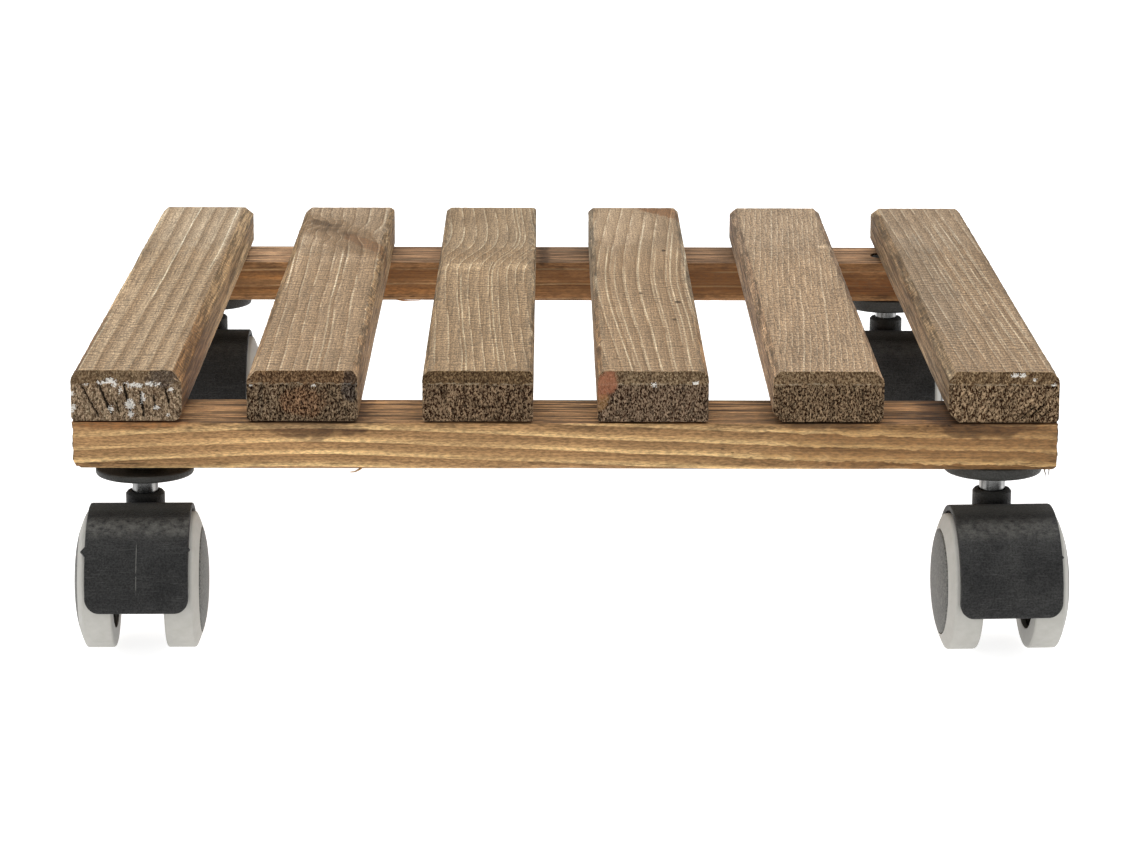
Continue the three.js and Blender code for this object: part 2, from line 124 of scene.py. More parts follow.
# Casters
TRAIL = 17.0
WHEEL_RADIUS = 20.8
TREAD_INNER_FACE = 7.9
TREAD_SHOULDER = 16.6
TREAD_LIP_RADIUS = 14.8
TREAD_LIP_THICKNESS = 1.6
DOME_APEX = 20.14
DOME_POWER = 2.9
DOME_EDGE_RADIUS = 15.85
DOME_STATIONS = 24
TREAD_BORE_RADIUS = DOME_EDGE_RADIUS + GAP
TREAD_SIDES = 128
CORE_WALL = 1.7
CORE_RECESS_RADIUS = 14.4
RECESS_FILLET = 3.0
HUB_RADIUS = 4.6
HUB_INNER_FACE = 6.0
AXLE_RADIUS = 2.0
AXLE_HALF_LENGTH = 15.5
AXLE_EASE = 0.4
HOOD_RADIUS = 23.39
HOOD_WALL = 1.8
HOOD_HALF_WIDTH = 15.6
HOOD_CORNER_RADIUS = 4.7
HOOD_REAR_CORNER_RADIUS = 2.0
HOOD_FRONT_ANGLES = {"front_left": -12.4, "front_right": -15.2, "rear_left": -12.4, "rear_right": -12.4}
HOOD_REAR_ANGLE = 146.0
HOOD_EDGE_RADIUS = 0.45
# The easing of the hood's front and rear edges: how far it reaches, and its depth as a share of that.
HOOD_EASE_REACH = 0.8
HOOD_EASE_SHARE = 0.75
HOOD_EDGE_SPAN = 14
HOOD_STATIONS = 56
NUB_ANGLE = 36.0
NUB_SPREAD = 6.0
NUB_STEP = 0.5
WEB_HALF_WIDTH = 4.6
SEAM_HEIGHTS = {"front_left": 0.09, "front_right": 0.03, "rear_left": 0.04, "rear_right": 0.03}
# The part of a hood's seam that has rubbed pale: its lowest and highest points and how pale it is.
SEAM_HIGHLIGHTS = {"front_left": (22.0, 37.0, 1.0), "front_right": (33.0, 39.0, 0.25)}
# A nub's height, and the angle and reach of it along the hood's side edge.
NUBS = {
    ("front_left", "left"): (1.3, 36.0, 4.0), ("front_left", "right"): (0.5, 38.0, 1.5),
    ("front_right", "right"): (0.5, 32.0, 1.5), ("rear_left", "left"): (0.5, 35.0, 2.0),
    ("rear_right", "right"): (0.5, 35.0, 2.0),
}
WEB_BELOW_AXLE = 7.6
WEB_FRONT_ANGLE = 24.0
WEB_REAR_INSET = 1.5
WEB_STATIONS = 28
WEB_TOE = 8.0
WEB_TOE_CHAMFER = 4.0
NECK_RADIUS = 6.0
NECK_TOP = 45.3
# How far each neck's top is below the CAD one.
NECK_DROP = {"front_left": 0.7, "front_right": -0.5, "rear_left": -1.3, "rear_right": -1.3}
NECK_BOTTOM = 16.0
NECK_BEVEL_WIDTH = 0.6
NECK_BEVEL_HEIGHT = 0.7
SOCKET_BOTTOM = 24.0
# How far the cutters of the socket and of the axle hole reach, past the housing's skin.
SOCKET_CUT_TOP = 60.0
AXLE_CUT_REACH = 15.0
BORE_SIDES = 64
AXLE_SIDES = 48


# ---------------------------------------------------------------- repeatable noise

def lattice(ix, iy, iz, seed):
    """Repeatable values from -1 to 1 at whole-number points."""
    n = (ix * 374761393 + iy * 668265263 + iz * 1103515245 + seed * 1274126177) & 0xFFFFFFFF
    n = ((n ^ (n >> 13)) * 1274126177) & 0xFFFFFFFF
    return ((n ^ (n >> 16)) & 0xFFFF) / 32767.5 - 1.0


def smooth_noise(points, seed):
    """Smooth noise from about -1 to 1 over an N x 3 array of points."""
    cell = np.floor(points).astype(np.int64)
    part = points - cell
    part = part * part * (3.0 - 2.0 * part)
    total = np.zeros(len(points))
    for dx in (0, 1):
        for dy in (0, 1):
            for dz in (0, 1):
                share = (
                    np.abs(1 - dx - part[:, 0])
                    * np.abs(1 - dy - part[:, 1])
                    * np.abs(1 - dz - part[:, 2])
                )
                total += share * lattice(cell[:, 0] + dx, cell[:, 1] + dy, cell[:, 2] + dz, seed)
    return total


def layered_noise(points, seed, layers=3):
    total = np.zeros(len(points))
    for layer in range(layers):
        total += smooth_noise(points * 2.0 ** layer, seed + layer) / 2.0 ** layer
    return total / 1.6


# ---------------------------------------------------------------- meshes

def mesh_of(name, points, faces):
    """A mesh in metres from points in millimetres, with its faces turned outwards."""
    mesh = bpy.data.meshes.new(name)
    mesh.from_pydata((np.asarray(points, float) * MM).tolist(), [], faces)
    tool = bmesh.new()
    tool.from_mesh(mesh)
    bmesh.ops.recalc_face_normals(tool, faces=tool.faces)
    tool.to_mesh(mesh)
    tool.free()
    return mesh


def graded(length, edge, fine, coarse):
    """Values from -length/2 to length/2, close together within edge of both ends."""
    ends = np.linspace(0, edge, round(edge / fine) + 1)
    middle = np.linspace(edge, length - edge, round((length - 2 * edge) / coarse) + 1)
    values = np.concatenate([ends, middle, length - ends])
    return np.unique(np.round(values, 4)) - length / 2


def block_skin(xs, ys, zs):
    """The skin of a block as shared points and outward quads, with grid lines at the given values."""
    index = {}
    points = []

    def at(*key):
        if key not in index:
            index[key] = len(points)
            points.append((xs[key[0]], ys[key[1]], zs[key[2]]))
        return index[key]

    faces = []
    nx, ny, nz = len(xs) - 1, len(ys) - 1, len(zs) - 1
    for i in range(nx):
        for j in range(ny):
            faces.append((at(i, j, nz), at(i + 1, j, nz), at(i + 1, j + 1, nz), at(i, j + 1, nz)))
            faces.append((at(i, j, 0), at(i, j + 1, 0), at(i + 1, j + 1, 0), at(i + 1, j, 0)))
    for j in range(ny):
        for k in range(nz):
            faces.append((at(nx, j, k), at(nx, j + 1, k), at(nx, j + 1, k + 1), at(nx, j, k + 1)))
            faces.append((at(0, j, k), at(0, j, k + 1), at(0, j + 1, k + 1), at(0, j + 1, k)))
    for i in range(nx):
        for k in range(nz):
            faces.append((at(i, 0, k), at(i + 1, 0, k), at(i + 1, 0, k + 1), at(i, 0, k + 1)))
            faces.append((at(i, ny, k), at(i, ny, k + 1), at(i + 1, ny, k + 1), at(i + 1, ny, k)))
    return np.array(points), faces


def cut_back(points, normal, distance):
    """Moves the points that lie beyond a plane back onto it."""
    unit = np.array(normal, float)
    unit /= np.linalg.norm(unit)
    beyond = np.maximum(points @ unit - distance, 0.0)
    return points - beyond[:, None] * unit


def chamfer(points, half, axes, signs, size):
    """Cuts one edge of a block back by size, which may differ from point to point."""
    normal = [0.0, 0.0, 0.0]
    normal[axes[0]] = signs[0]
    normal[axes[1]] = signs[1]
    distance = (half[axes[0]] + half[axes[1]] - size) / math.sqrt(2)
    return cut_back(points, normal, distance)


def rounded(corners, steps=5):
    """An outline from (a, b, radius) corners, each rounded by its radius."""
    outline = []
    count = len(corners)
    for n, (a, b, radius) in enumerate(corners):
        here = np.array([a, b], float)
        if radius <= 0:
            outline.append(tuple(here))
            continue
        before = np.array(corners[n - 1][:2], float) - here
        after = np.array(corners[(n + 1) % count][:2], float) - here
        before_length, after_length = np.linalg.norm(before), np.linalg.norm(after)
        before, after = before / before_length, after / after_length
        half_angle = math.acos(max(-1.0, min(1.0, float(before @ after)))) / 2
        back = min(radius / math.tan(half_angle), 0.49 * before_length, 0.49 * after_length)
        start, end = here + before * back, here + after * back
        for step in range(steps + 1):
            t = step / steps
            point = (1 - t) ** 2 * start + 2 * t * (1 - t) * here + t ** 2 * end
            outline.append(tuple(point))
    return outline


def rod_outline(radius, low, high):
    """The profile of a plain rod, for a hole's cutter."""
    return [(0, low), (radius, low), (radius, high), (0, high)]


def turned_mesh(name, profile, sides, closed=False, along_x=False):
    """A (radius, height) profile turned about Z, or about X with its height along X."""
    points, rows = [], []
    for radius, height in profile:
        if radius < 1e-6:
            rows.append([len(points)] * sides)
            points.append((0.0, 0.0, height))
        else:
            rows.append(list(range(len(points), len(points) + sides)))
            for side in range(sides):
                angle = 2 * math.pi * side / sides
                points.append((radius * math.cos(angle), radius * math.sin(angle), height))
    faces = []
    count = len(profile)
    for n in range(count if closed else count - 1):
        low, high = rows[n], rows[(n + 1) % count]
        for side in range(sides):
            after = (side + 1) % sides
            corners = [low[side], low[after], high[after], high[side]]
            face = [c for i, c in enumerate(corners) if c != corners[i - 1]]
            if len(face) > 2:
                faces.append(face)
    if along_x:
        points = [(height, x, y) for x, y, height in points]
    return mesh_of(name, points, faces)


def prism_mesh(name, outline, half_width):
    """A (y, z) outline extruded both ways along X."""
    count = len(outline)
    points = [(-half_width, y, z) for y, z in outline] + [(half_width, y, z) for y, z in outline]
    faces = [tuple(range(count)), tuple(range(2 * count - 1, count - 1, -1))]
    for n in range(count):
        after = (n + 1) % count
        faces.append((n, n + count, after + count, after))
    return mesh_of(name, points, faces)


def scratch_object(mesh):
    obj = bpy.data.objects.new(mesh.name, mesh)
    bpy.context.scene.collection.objects.link(obj)
    return obj


def combined(base, others, operation):
    """The mesh of base joined with, or cut by, the other meshes, which share its frame."""
    body = scratch_object(base)
    tools = [scratch_object(mesh) for mesh in others]
    for tool in tools:
        modifier = body.modifiers.new("combine", "BOOLEAN")
        modifier.operation = operation
        modifier.solver = "EXACT"
        modifier.object = tool
    bpy.context.view_layer.update()
    result = bpy.data.meshes.new_from_object(
        body.evaluated_get(bpy.context.evaluated_depsgraph_get())
    )
    result.name = base.name
    for obj in [body, *tools]:
        bpy.data.objects.remove(obj)
    return result


def shifted(mesh, x=0.0, y=0.0, z=0.0):
    mesh.transform(Matrix.Translation((x * MM, y * MM, z * MM)))
    return mesh


def add_piece(name, mesh, place, body, material, nodes, crease=PIECE_CREASE):
    """Puts a mesh into the scene as a piece that stands for CAD nodes and rides on their body."""
    mesh.transform(place.to_3x3().to_4x4())
    mesh.shade_smooth()
    mesh.set_sharp_from_angle(angle=math.radians(crease))
    mesh.materials.clear()
    mesh.materials.append(material)
    piece = bpy.data.objects.new(name, mesh)
    bpy.context.scene.collection.objects.link(piece)
    piece.matrix_world = Matrix.Translation(place.translation)
    bpy.context.view_layer.update()
    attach(piece, body)
    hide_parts(*nodes)
    return piece


# ---------------------------------------------------------------- material graphs

def srgb(red, green, blue):
    """A linear colour from 0-255 display values."""
    def channel(value):
        value /= 255.0
        return value / 12.92 if value <= 0.04045 else ((value + 0.055) / 1.055) ** 2.4
    return (channel(red), channel(green), channel(blue), 1.0)


class Graph:
    """A node material under construction. Lengths in it are millimetres in the piece's own frame."""

    def __init__(self, name, order="XYZ"):
        self.material = bpy.data.materials.new(name)
        self.material.use_nodes = True
        self.tree = self.material.node_tree
        self.shader = self.tree.nodes["Principled BSDF"]
        coordinates = self.node("ShaderNodeTexCoord")
        split = self.node("ShaderNodeSeparateXYZ")
        self.link(self.scaled(coordinates.outputs["Object"], 1 / MM), split.inputs[0])
        self.axes = {axis: split.outputs[axis] for axis in "XYZ"}
        self.across, self.along, self.depth = (self.axes[axis] for axis in order)
        joined = self.node("ShaderNodeCombineXYZ")
        for socket, value in zip(joined.inputs, (self.across, self.along, self.depth)):
            self.link(value, socket)
        self.place = joined.outputs[0]
        self.normal = coordinates.outputs["Normal"]

    def node(self, kind, **settings):
        made = self.tree.nodes.new(kind)
        for key, value in settings.items():
            setattr(made, key, value)
        return made

    def link(self, source, socket):
        if isinstance(source, (int, float, tuple, list)):
            socket.default_value = source
        else:
            self.tree.links.new(source, socket)

    def scaled(self, vector, factor):
        made = self.node("ShaderNodeVectorMath", operation="SCALE")
        self.link(vector, made.inputs[0])
        self.link(factor, made.inputs["Scale"])
        return made.outputs[0]

    def math(self, operation, a, b=0.0):
        made = self.node("ShaderNodeMath", operation=operation)
        self.link(a, made.inputs[0])
        self.link(b, made.inputs[1])
        return made.outputs[0]

    def sum(self, *terms):
        total = terms[0]
        for term in terms[1:]:
            total = self.math("ADD", total, term)
        return total

    def times(self, a, b):
        return self.math("MULTIPLY", a, b)

    def linear(self, value, factor, offset):
        made = self.node("ShaderNodeMath", operation="MULTIPLY_ADD")
        self.link(value, made.inputs[0])
        self.link(factor, made.inputs[1])
        self.link(offset, made.inputs[2])
        return made.outputs[0]

    def remap(self, value, low, high, to_low=0.0, to_high=1.0):
        made = self.node("ShaderNodeMapRange", interpolation_type="SMOOTHSTEP")
        for socket, number in zip(made.inputs, (value, low, high, to_low, to_high)):
            self.link(number, socket)
        return made.outputs[0]

    def crisp(self, value, spread):
        """Noise about 0.5 pulled apart so that it fills 0 to 1."""
        return self.remap(value, 0.5 - spread, 0.5 + spread)

    def noise(self, scale, detail=2.0, roughness=0.5, offset=0.0):
        """Noise from 0 to 1. The scale is in cells for each millimetre across, along and in depth."""
        mapping = self.node("ShaderNodeMapping")
        self.link(self.place, mapping.inputs["Vector"])
        mapping.inputs["Scale"].default_value = scale
        mapping.inputs["Location"].default_value = (offset, 1.7 * offset, -0.6 * offset)
        made = self.node("ShaderNodeTexNoise")
        self.link(mapping.outputs[0], made.inputs["Vector"])
        made.inputs["Scale"].default_value = 1.0
        made.inputs["Detail"].default_value = detail
        made.inputs["Roughness"].default_value = roughness
        return made.outputs["Fac"]

    def cells(self, scale, offset=0.0):
        """The distance to the nearest of many scattered points, in cells."""
        mapping = self.node("ShaderNodeMapping")
        self.link(self.place, mapping.inputs["Vector"])
        mapping.inputs["Scale"].default_value = scale
        mapping.inputs["Location"].default_value = (offset, -offset, 0.3 * offset)
        made = self.node("ShaderNodeTexVoronoi")
        self.link(mapping.outputs[0], made.inputs["Vector"])
        made.inputs["Scale"].default_value = 1.0
        return made.outputs["Distance"]

    def attribute(self, name):
        made = self.node("ShaderNodeAttribute", attribute_name=name)
        return made.outputs["Fac"]

    def ramp(self, value, stops):
        made = self.node("ShaderNodeValToRGB")
        self.link(value, made.inputs[0])
        elements = made.color_ramp.elements
        while len(elements) < len(stops):
            elements.new(1.0)
        for element, (position, color) in zip(elements, stops):
            element.position = position
            element.color = color
        return made.outputs[0]

    def mix(self, factor, a, b, blend="MIX"):
        made = self.node("ShaderNodeMix", data_type="RGBA", blend_type=blend)
        self.link(factor, made.inputs[0])
        self.link(a, made.inputs[6])
        self.link(b, made.inputs[7])
        return made.outputs[2]

    def shade(self, color, level):
        """A colour made lighter or darker by a number that varies over the surface."""
        made = self.node("ShaderNodeVectorMath", operation="SCALE")
        self.link(color, made.inputs[0])
        self.link(level, made.inputs["Scale"])
        return made.outputs[0]

    def oval(self, across, along, reach_across, reach_along, wobble, slant=0.0, upright=False):
        """One inside an oval, fading to zero outside it, with an edge that wanders. A slanted oval's
        middle moves along the plank with the distance across it. An upright one lies on the ends."""
        off = self.linear(self.across, 1.0, -across)
        u = self.linear(off, 1 / reach_across, 0.0)
        run = self.depth if upright else self.along
        v = self.linear(run, 1 / reach_along, -along / reach_along)
        v = self.sum(v, self.linear(off, -slant / reach_along, 0.0))
        radius = self.math("SQRT", self.sum(self.times(u, u), self.times(v, v)))
        return self.remap(self.sum(radius, self.linear(wobble, 1.4, -0.7)), 1.15, 0.75)

    def bump(self, height, distance, strength=1.0):
        made = self.node("ShaderNodeBump")
        made.inputs["Strength"].default_value = strength
        made.inputs["Distance"].default_value = distance * MM
        self.link(height, made.inputs["Height"])
        return made.outputs[0]

    def finish(self, color, roughness, normal=None, **fixed):
        self.link(color, self.shader.inputs["Base Color"])
        self.link(roughness, self.shader.inputs["Roughness"])
        if normal is not None:
            self.link(normal, self.shader.inputs["Normal"])
        for key, value in fixed.items():
            self.link(value, self.shader.inputs[key])
        return self.material


# ---------------------------------------------------------------- wood

# Where in each growth ring its pale line lies and how wide it is, as shares of the ring.
RING_LINE_PHASE = 0.82
RING_LINE_WIDTH = 0.09
# The saw marks' spacing, and how far they wander, in spacings.
SAW_PITCH = 3.6
SAW_SHIFT = 3.6
THREAD_FADE = 14
WORN_EDGE_SHADE = 0.52
# Places along a plank: where its front end's marks start, and where its sides' painted light and shade
# change.
FRONT_END_REACH = (-120, -130)
SIDE_PAINTED_LIGHT_REACH = (-100, 0)


def ring_field(g, look):
    """Distance from the heart of the tree, whose place drifts along the plank, with knots in it, and
    the place across the plank of the grain that passes each point."""
    drift = g.linear(g.along, look["lean"], 0.0)
    if "fold" in look:
        at, slope, softness = look["fold"]
        off = g.linear(g.along, 1.0, -at)
        arm = g.math("SQRT", g.linear(g.times(off, off), 1.0, softness ** 2))
        drift = g.sum(drift, g.linear(arm, slope, -slope * softness))
    if "swing" in look:
        at, reach, amount = look["swing"]
        turn = g.math("TANH", g.linear(g.along, 1 / reach, -at / reach))
        drift = g.sum(drift, g.linear(turn, amount / 2, amount / 2))
    for across, along_at, reach_across, reach_along, height in look["knots"]:
        a = g.linear(g.across, 1 / reach_across, -across / reach_across)
        b = g.linear(g.along, 1 / reach_along, -along_at / reach_along)
        fall = g.math("EXPONENT", g.linear(g.sum(g.times(a, a), g.times(b, b)), -1.0, 0.0))
        drift = g.sum(drift, g.times(fall, height))
    seed = look["seed"]
    slow = g.noise((0.03, 0.006, 0.03), 2.0, 0.5, seed)
    waves = g.noise((0.10, 0.022, 0.10), 2.0, 0.5, seed + 3.1)
    drift = g.sum(drift, g.linear(slow, look["wander"], -0.5 * look["wander"]))
    drift = g.sum(drift, g.linear(waves, look["waves"], -0.5 * look["waves"]))
    if "ripple" in look:
        start, full, amount = look["ripple"]
        ripple = g.noise((0.26, 0.17, 0.12), 3.0, 0.6, seed + 7.7)
        here = g.remap(g.along, start, full)
        drift = g.sum(drift, g.times(g.linear(ripple, amount, -amount / 2), here))
    trace = g.math("SUBTRACT", g.across, drift)
    u = g.linear(trace, 1.0, -look["heart"][0])
    w = g.linear(g.depth, 1.0, -look["heart"][1])
    field = g.math("SQRT", g.sum(g.times(u, u), g.times(w, w)))
    return field, trace


def facing_masks(g, order):
    """How far the surface faces along the grain, and how far it faces up."""
    facing = g.node("ShaderNodeSeparateXYZ")
    g.link(g.normal, facing.inputs[0])
    along = facing.outputs["Y" if order == "XYZ" else "X"]
    end = g.remap(g.math("ABSOLUTE", along), 0.42, 0.62)
    up = g.remap(facing.outputs["Z"], 0.70, 0.95)
    bevel = g.times(end, g.remap(facing.outputs["Z"], 0.3, 0.5))
    return end, up, bevel


def pale_lines(g, look, phase, trace, seed):
    """Thin broken cream lines: one in each ring, and the stronger threads at stated places."""
    broken = g.remap(g.noise((0.5, 0.03, 0.5), 3.0, 0.6, seed + 61), 0.36, 0.58)
    line = g.remap(g.math("ABSOLUTE", g.linear(phase, 1.0, -RING_LINE_PHASE)), RING_LINE_WIDTH, 0.02)
    line = g.times(g.times(line, broken), look["line"])
    for at, start, stop, strength in look["threads"]:
        near = g.remap(g.math("ABSOLUTE", g.linear(trace, 1.0, -at)), 0.38, 0.12)
        fade_in = g.remap(g.along, start - THREAD_FADE, start + THREAD_FADE)
        here = g.times(fade_in, g.remap(g.along, stop + THREAD_FADE, stop - THREAD_FADE))
        thread = g.times(g.times(near, here), g.linear(broken, 0.5, 0.5))
        line = g.math("MAXIMUM", line, g.times(thread, strength))
    return line


def saw_marks(g, look, seed):
    """Short dashes across the plank, left by the saw, in patches and mostly towards the front."""
    shift = g.noise((0.11, 0.06, 0.11), 3.0, 0.6, seed + 27)
    turns = g.sum(g.linear(g.along, 1 / SAW_PITCH, 0.0), g.linear(shift, SAW_SHIFT, 0.0))
    wave = g.math("SINE", g.linear(turns, 2 * math.pi, 0.0))
    patch = g.remap(g.noise((0.28, 0.16, 0.28), 3.0, 0.7, seed + 31), 0.42, 0.56)
    start, full = look["saw_reach"]
    patch = g.times(patch, g.remap(g.along, start, full, 0.2, 1.0))
    return g.times(wave, patch)


def face_color(g, look, phase, trace, up, seed):
    """The long faces: growth rings with pale lines, fibres, sawn hatching, flecks and pits."""
    color = g.ramp(phase, look["rings"])
    if "calm" in look:
        tone, most = look["calm"]
        calm = g.crisp(g.noise((0.09, 0.012, 0.09), 3.0, 0.6, seed + 71), 0.16)
        color = g.mix(g.times(calm, most), color, tone)
    if "up_plain" in look:
        color = g.mix(g.times(up, 0.75), color, look["up_plain"])
        grooves = g.crisp(g.noise((0.4, 0.03, 0.62), 3.0, 0.7, seed + 73), 0.11)
        grooves = g.times(g.linear(grooves, 1.0, -0.5), g.times(up, look["grooves"]))
        color = g.shade(color, g.linear(grooves, 1.0, 1.0))
    line = pale_lines(g, look, phase, trace, seed)
    color = g.mix(line, color, look["line_color"])

    fibres = g.crisp(g.noise((2.0, 0.028, 2.0), 3.0, 0.6, seed + 11), 0.2)
    patches = g.noise((0.05, 0.02, 0.05), 3.0, 0.55, seed + 17)
    flecks = g.crisp(g.noise((2.3, 0.55, 2.3), 2.0, 0.6, seed + 23), 0.18)
    fibre_depth = g.linear(up, look["fibre_up"], look["fibre"])
    color = g.shade(color, g.linear(g.times(g.linear(fibres, 1.0, -0.5), fibre_depth), 1.0, 1.0))
    color = g.shade(color, g.linear(patches, 0.5, 0.75))
    fleck_depth = look["fleck"]
    color = g.shade(color, g.linear(flecks, fleck_depth, 1 - fleck_depth / 2))
    hatch = saw_marks(g, look, seed)
    color = g.shade(color, g.linear(hatch, look["hatch"], 1.0))

    pits = g.remap(g.cells((0.42, 0.16, 0.42), seed), 0.11, 0.05)
    pits = g.times(pits, g.remap(g.noise((0.07, 0.03, 0.07), 1.0, 0.5, seed + 37), 0.54, 0.62))
    color = g.shade(color, g.linear(pits, -0.6, 1.0))
    height = g.sum(g.times(fibres, 0.25), g.times(flecks, 0.2), g.times(hatch, 0.12))
    height = g.sum(height, g.times(pits, -0.8), g.times(line, 0.2))
    return color, height, flecks


def end_grain(g, look, phase, bevel, seed):
    """Rough end grain: rings, torn upright fibres, open pores and pale flecks, smoother on the bevel."""
    dashes = g.crisp(g.noise((2.0, 1.0, 1.15), 3.0, 0.7, seed + 43), 0.08)
    pores = g.remap(g.noise((1.5, 1.0, 0.8), 2.0, 0.6, seed + 45), 0.55, 0.62)
    glints = g.remap(g.noise((2.0, 1.0, 1.4), 2.0, 0.6, seed + 49), 0.60, 0.66)
    streaks = g.noise((1.0, 1.0, 0.14), 3.0, 0.6, seed + 47)
    light = g.ramp(phase, look["end_rings"])
    open_share = g.linear(bevel, -0.35 * look["torn"], look["torn"])
    share = g.linear(g.times(g.linear(dashes, 1.0, -0.5), open_share), 1.0, 0.5)
    color = g.mix(share, look["end_dark"], light)
    color = g.shade(color, g.linear(g.times(pores, g.linear(bevel, -0.4, 0.6)), -1.0, 1.0))
    color = g.mix(g.times(glints, 0.5), color, look["glint_color"])
    color = g.shade(color, g.linear(streaks, 1.7, 0.18))
    color = g.mix(1.0, color, g.mix(bevel, look["end_tint"], look["bevel_tint"]), "MULTIPLY")
    broken = g.remap(g.noise((0.5, 1.0, 0.8), 3.0, 0.7, seed + 51), 0.44, 0.58)
    lip_place = g.linear(streaks, 1.2, -0.6 - look["lip_height"])
    lip = g.remap(g.math("ABSOLUTE", g.sum(g.depth, lip_place)), 0.34, 0.12)
    color = g.mix(g.times(g.times(lip, broken), look["lip"]), color, look["edge_color"])
    height = g.sum(g.times(dashes, 0.5), g.times(pores, -0.6), g.times(streaks, 0.4))
    return color, height


def crack_mask(g, look, seed):
    """Black splits in the front end: tapering strokes with ragged sides."""
    ragged = g.linear(g.noise((1.1, 1.0, 0.7), 3.0, 0.7, seed + 57), 1.5, -0.75)
    total = None
    for across, up, turn, length, half_width in look["cracks"]:
        angle = math.radians(turn)
        dx = g.linear(g.across, 1.0, -across)
        dz = g.linear(g.depth, 1.0, -up)
        run = g.sum(g.times(dx, math.cos(angle)), g.times(dz, math.sin(angle)))
        off = g.sum(g.times(dz, math.cos(angle)), g.times(dx, -math.sin(angle)), ragged)
        inside = g.remap(g.math("ABSOLUTE", off), half_width * 1.3, half_width * 0.6)
        inside = g.times(inside, g.remap(g.math("ABSOLUTE", run), length / 2 + 0.6, length / 2 - 0.8))
        total = inside if total is None else g.math("MAXIMUM", total, inside)
    return total


def stained(g, look, color, wobble, flecks, key, upright):
    """The colour with its stains: ovals with ragged, speckled edges."""
    for across, along, reach_across, reach_along, tint, strength, slant in look[key]:
        mask = g.oval(across, along, reach_across, reach_along, wobble, slant, upright)
        mask = g.times(g.times(mask, g.linear(flecks, 0.5, 0.6)), strength)
        color = g.mix(mask, color, g.mix(1.0, color, tint, "MULTIPLY"))
    return color


def side_color(g, look, color, seed):
    """The long sides: painted light and shade that changes from the front to the rear, with broken
    fibres.
    """
    if "side_painted_light" not in look:
        return color
    front_painted_light, rear_painted_light = look["side_painted_light"]
    tint = g.mix(g.remap(g.along, *SIDE_PAINTED_LIGHT_REACH), front_painted_light, rear_painted_light)
    fibres = g.crisp(g.noise((0.9, 0.035, 0.9), 3.0, 0.65, seed + 71), 0.12)
    color = g.mix(1.0, color, tint, "MULTIPLY")
    return g.shade(color, g.linear(fibres, 0.8, 0.53))


def marked_end(g, look, phase, bevel, wobble, flecks, seed):
    """The end grain with its stains, and at the front its blushes and splits."""
    color, height = end_grain(g, look, phase, bevel, seed)
    color = stained(g, look, color, wobble, flecks, "end_stains", True)
    at_front = g.remap(g.along, *FRONT_END_REACH)
    for across, up, reach_across, reach_up, blush, strength, slant in look["blushes"]:
        mask = g.oval(across, up, reach_across, reach_up, wobble, slant, True)
        mottled = g.shade(blush[:3], g.linear(flecks, 0.5, 0.75))
        color = g.mix(g.times(g.times(mask, at_front), strength), color, mottled)
    if look["cracks"]:
        cracks = g.times(crack_mask(g, look, seed), at_front)
        color = g.shade(color, g.linear(cracks, -0.9, 1.0))
        height = g.sum(height, g.times(cracks, -1.2))
    return color, height


def worn(g, look, color, along_face, seed):
    """The colour with its worn long edges and its pale chips."""
    jagged = g.noise((1.8, 1.0, 2.6), 2.0, 0.65, seed + 53)
    chip = g.remap(g.sum(g.attribute("chip"), g.linear(jagged, 4.4, -2.3)), 0.40, 0.56)
    chip = g.times(chip, g.remap(g.attribute("chip"), 0.02, 0.2))
    edge = g.times(g.attribute("edge"), along_face)
    color = g.mix(g.times(edge, look["edge"]), color, look["edge_color"])
    broken = g.remap(g.noise((0.9, 0.10, 0.9), 3.0, 0.7, seed + 67), 0.46, 0.56)
    color = g.shade(color, g.linear(g.times(edge, broken), -WORN_EDGE_SHADE, 1.0))
    return g.mix(g.times(chip, 0.9), color, look["chip_color"])


def wood_material(name, look, order="XYZ"):
    """Sawn, stained softwood: growth rings, fibres, saw marks, pits, stains and rough end grain."""
    g = Graph(name, order)
    seed = look["seed"]
    field, trace = ring_field(g, look)
    phase = g.math("FRACT", g.linear(field, 1 / look["spacing"], look["phase"]))
    end, up, bevel = facing_masks(g, order)
    along_face = g.math("SUBTRACT", 1.0, end)
    color, height, flecks = face_color(g, look, phase, trace, up, seed)
    # Painted light and shade: the tops get a tint of their own, and the other faces the sides' tint.
    top_with_painted_light = g.mix(1.0, color, look["top_painted_light"], "MULTIPLY")
    color = g.mix(up, side_color(g, look, color, seed), top_with_painted_light)
    wobble = g.noise((0.28, 0.11, 0.28), 3.0, 0.6, seed + 41)
    color = stained(g, look, color, wobble, flecks, "stains", False)
    end_color, end_height = marked_end(g, look, phase, bevel, wobble, flecks, seed)
    color = worn(g, look, g.mix(end, color, end_color), along_face, seed)
    height = g.sum(g.times(height, along_face), g.times(end_height, end))
    roughness = g.linear(flecks, 0.2, 0.68)
    shine = g.linear(end, -0.20, 0.22)
    return g.finish(color, roughness, g.bump(height, 0.25, 0.85), **{"Specular IOR Level": shine})


SLAT_RINGS = (
    (0.00, srgb(138, 116, 90)),
    (0.45, srgb(145, 123, 97)),
    (0.72, srgb(150, 128, 102)),
    (0.90, srgb(132, 109, 83)),
    (0.96, srgb(127, 104, 79)),
    (1.00, srgb(138, 116, 90)),
)
BROAD_RINGS = (
    (0.00, srgb(128, 105, 79)),
    (0.30, srgb(146, 123, 96)),
    (0.62, srgb(158, 136, 109)),
    (0.80, srgb(154, 132, 105)),
    (1.00, srgb(128, 105, 79)),
)
SLAT_LINE = srgb(204, 188, 160)
RINGED_END = (
    (0.00, srgb(140, 120, 92)),
    (0.50, srgb(132, 112, 86)),
    (0.78, srgb(104, 86, 64)),
    (0.92, srgb(98, 80, 60)),
    (1.00, srgb(140, 120, 92)),
)
PLAIN_END = (
    (0.00, srgb(136, 116, 88)),
    (0.50, srgb(130, 110, 84)),
    (0.80, srgb(122, 102, 77)),
    (1.00, srgb(136, 116, 88)),
)
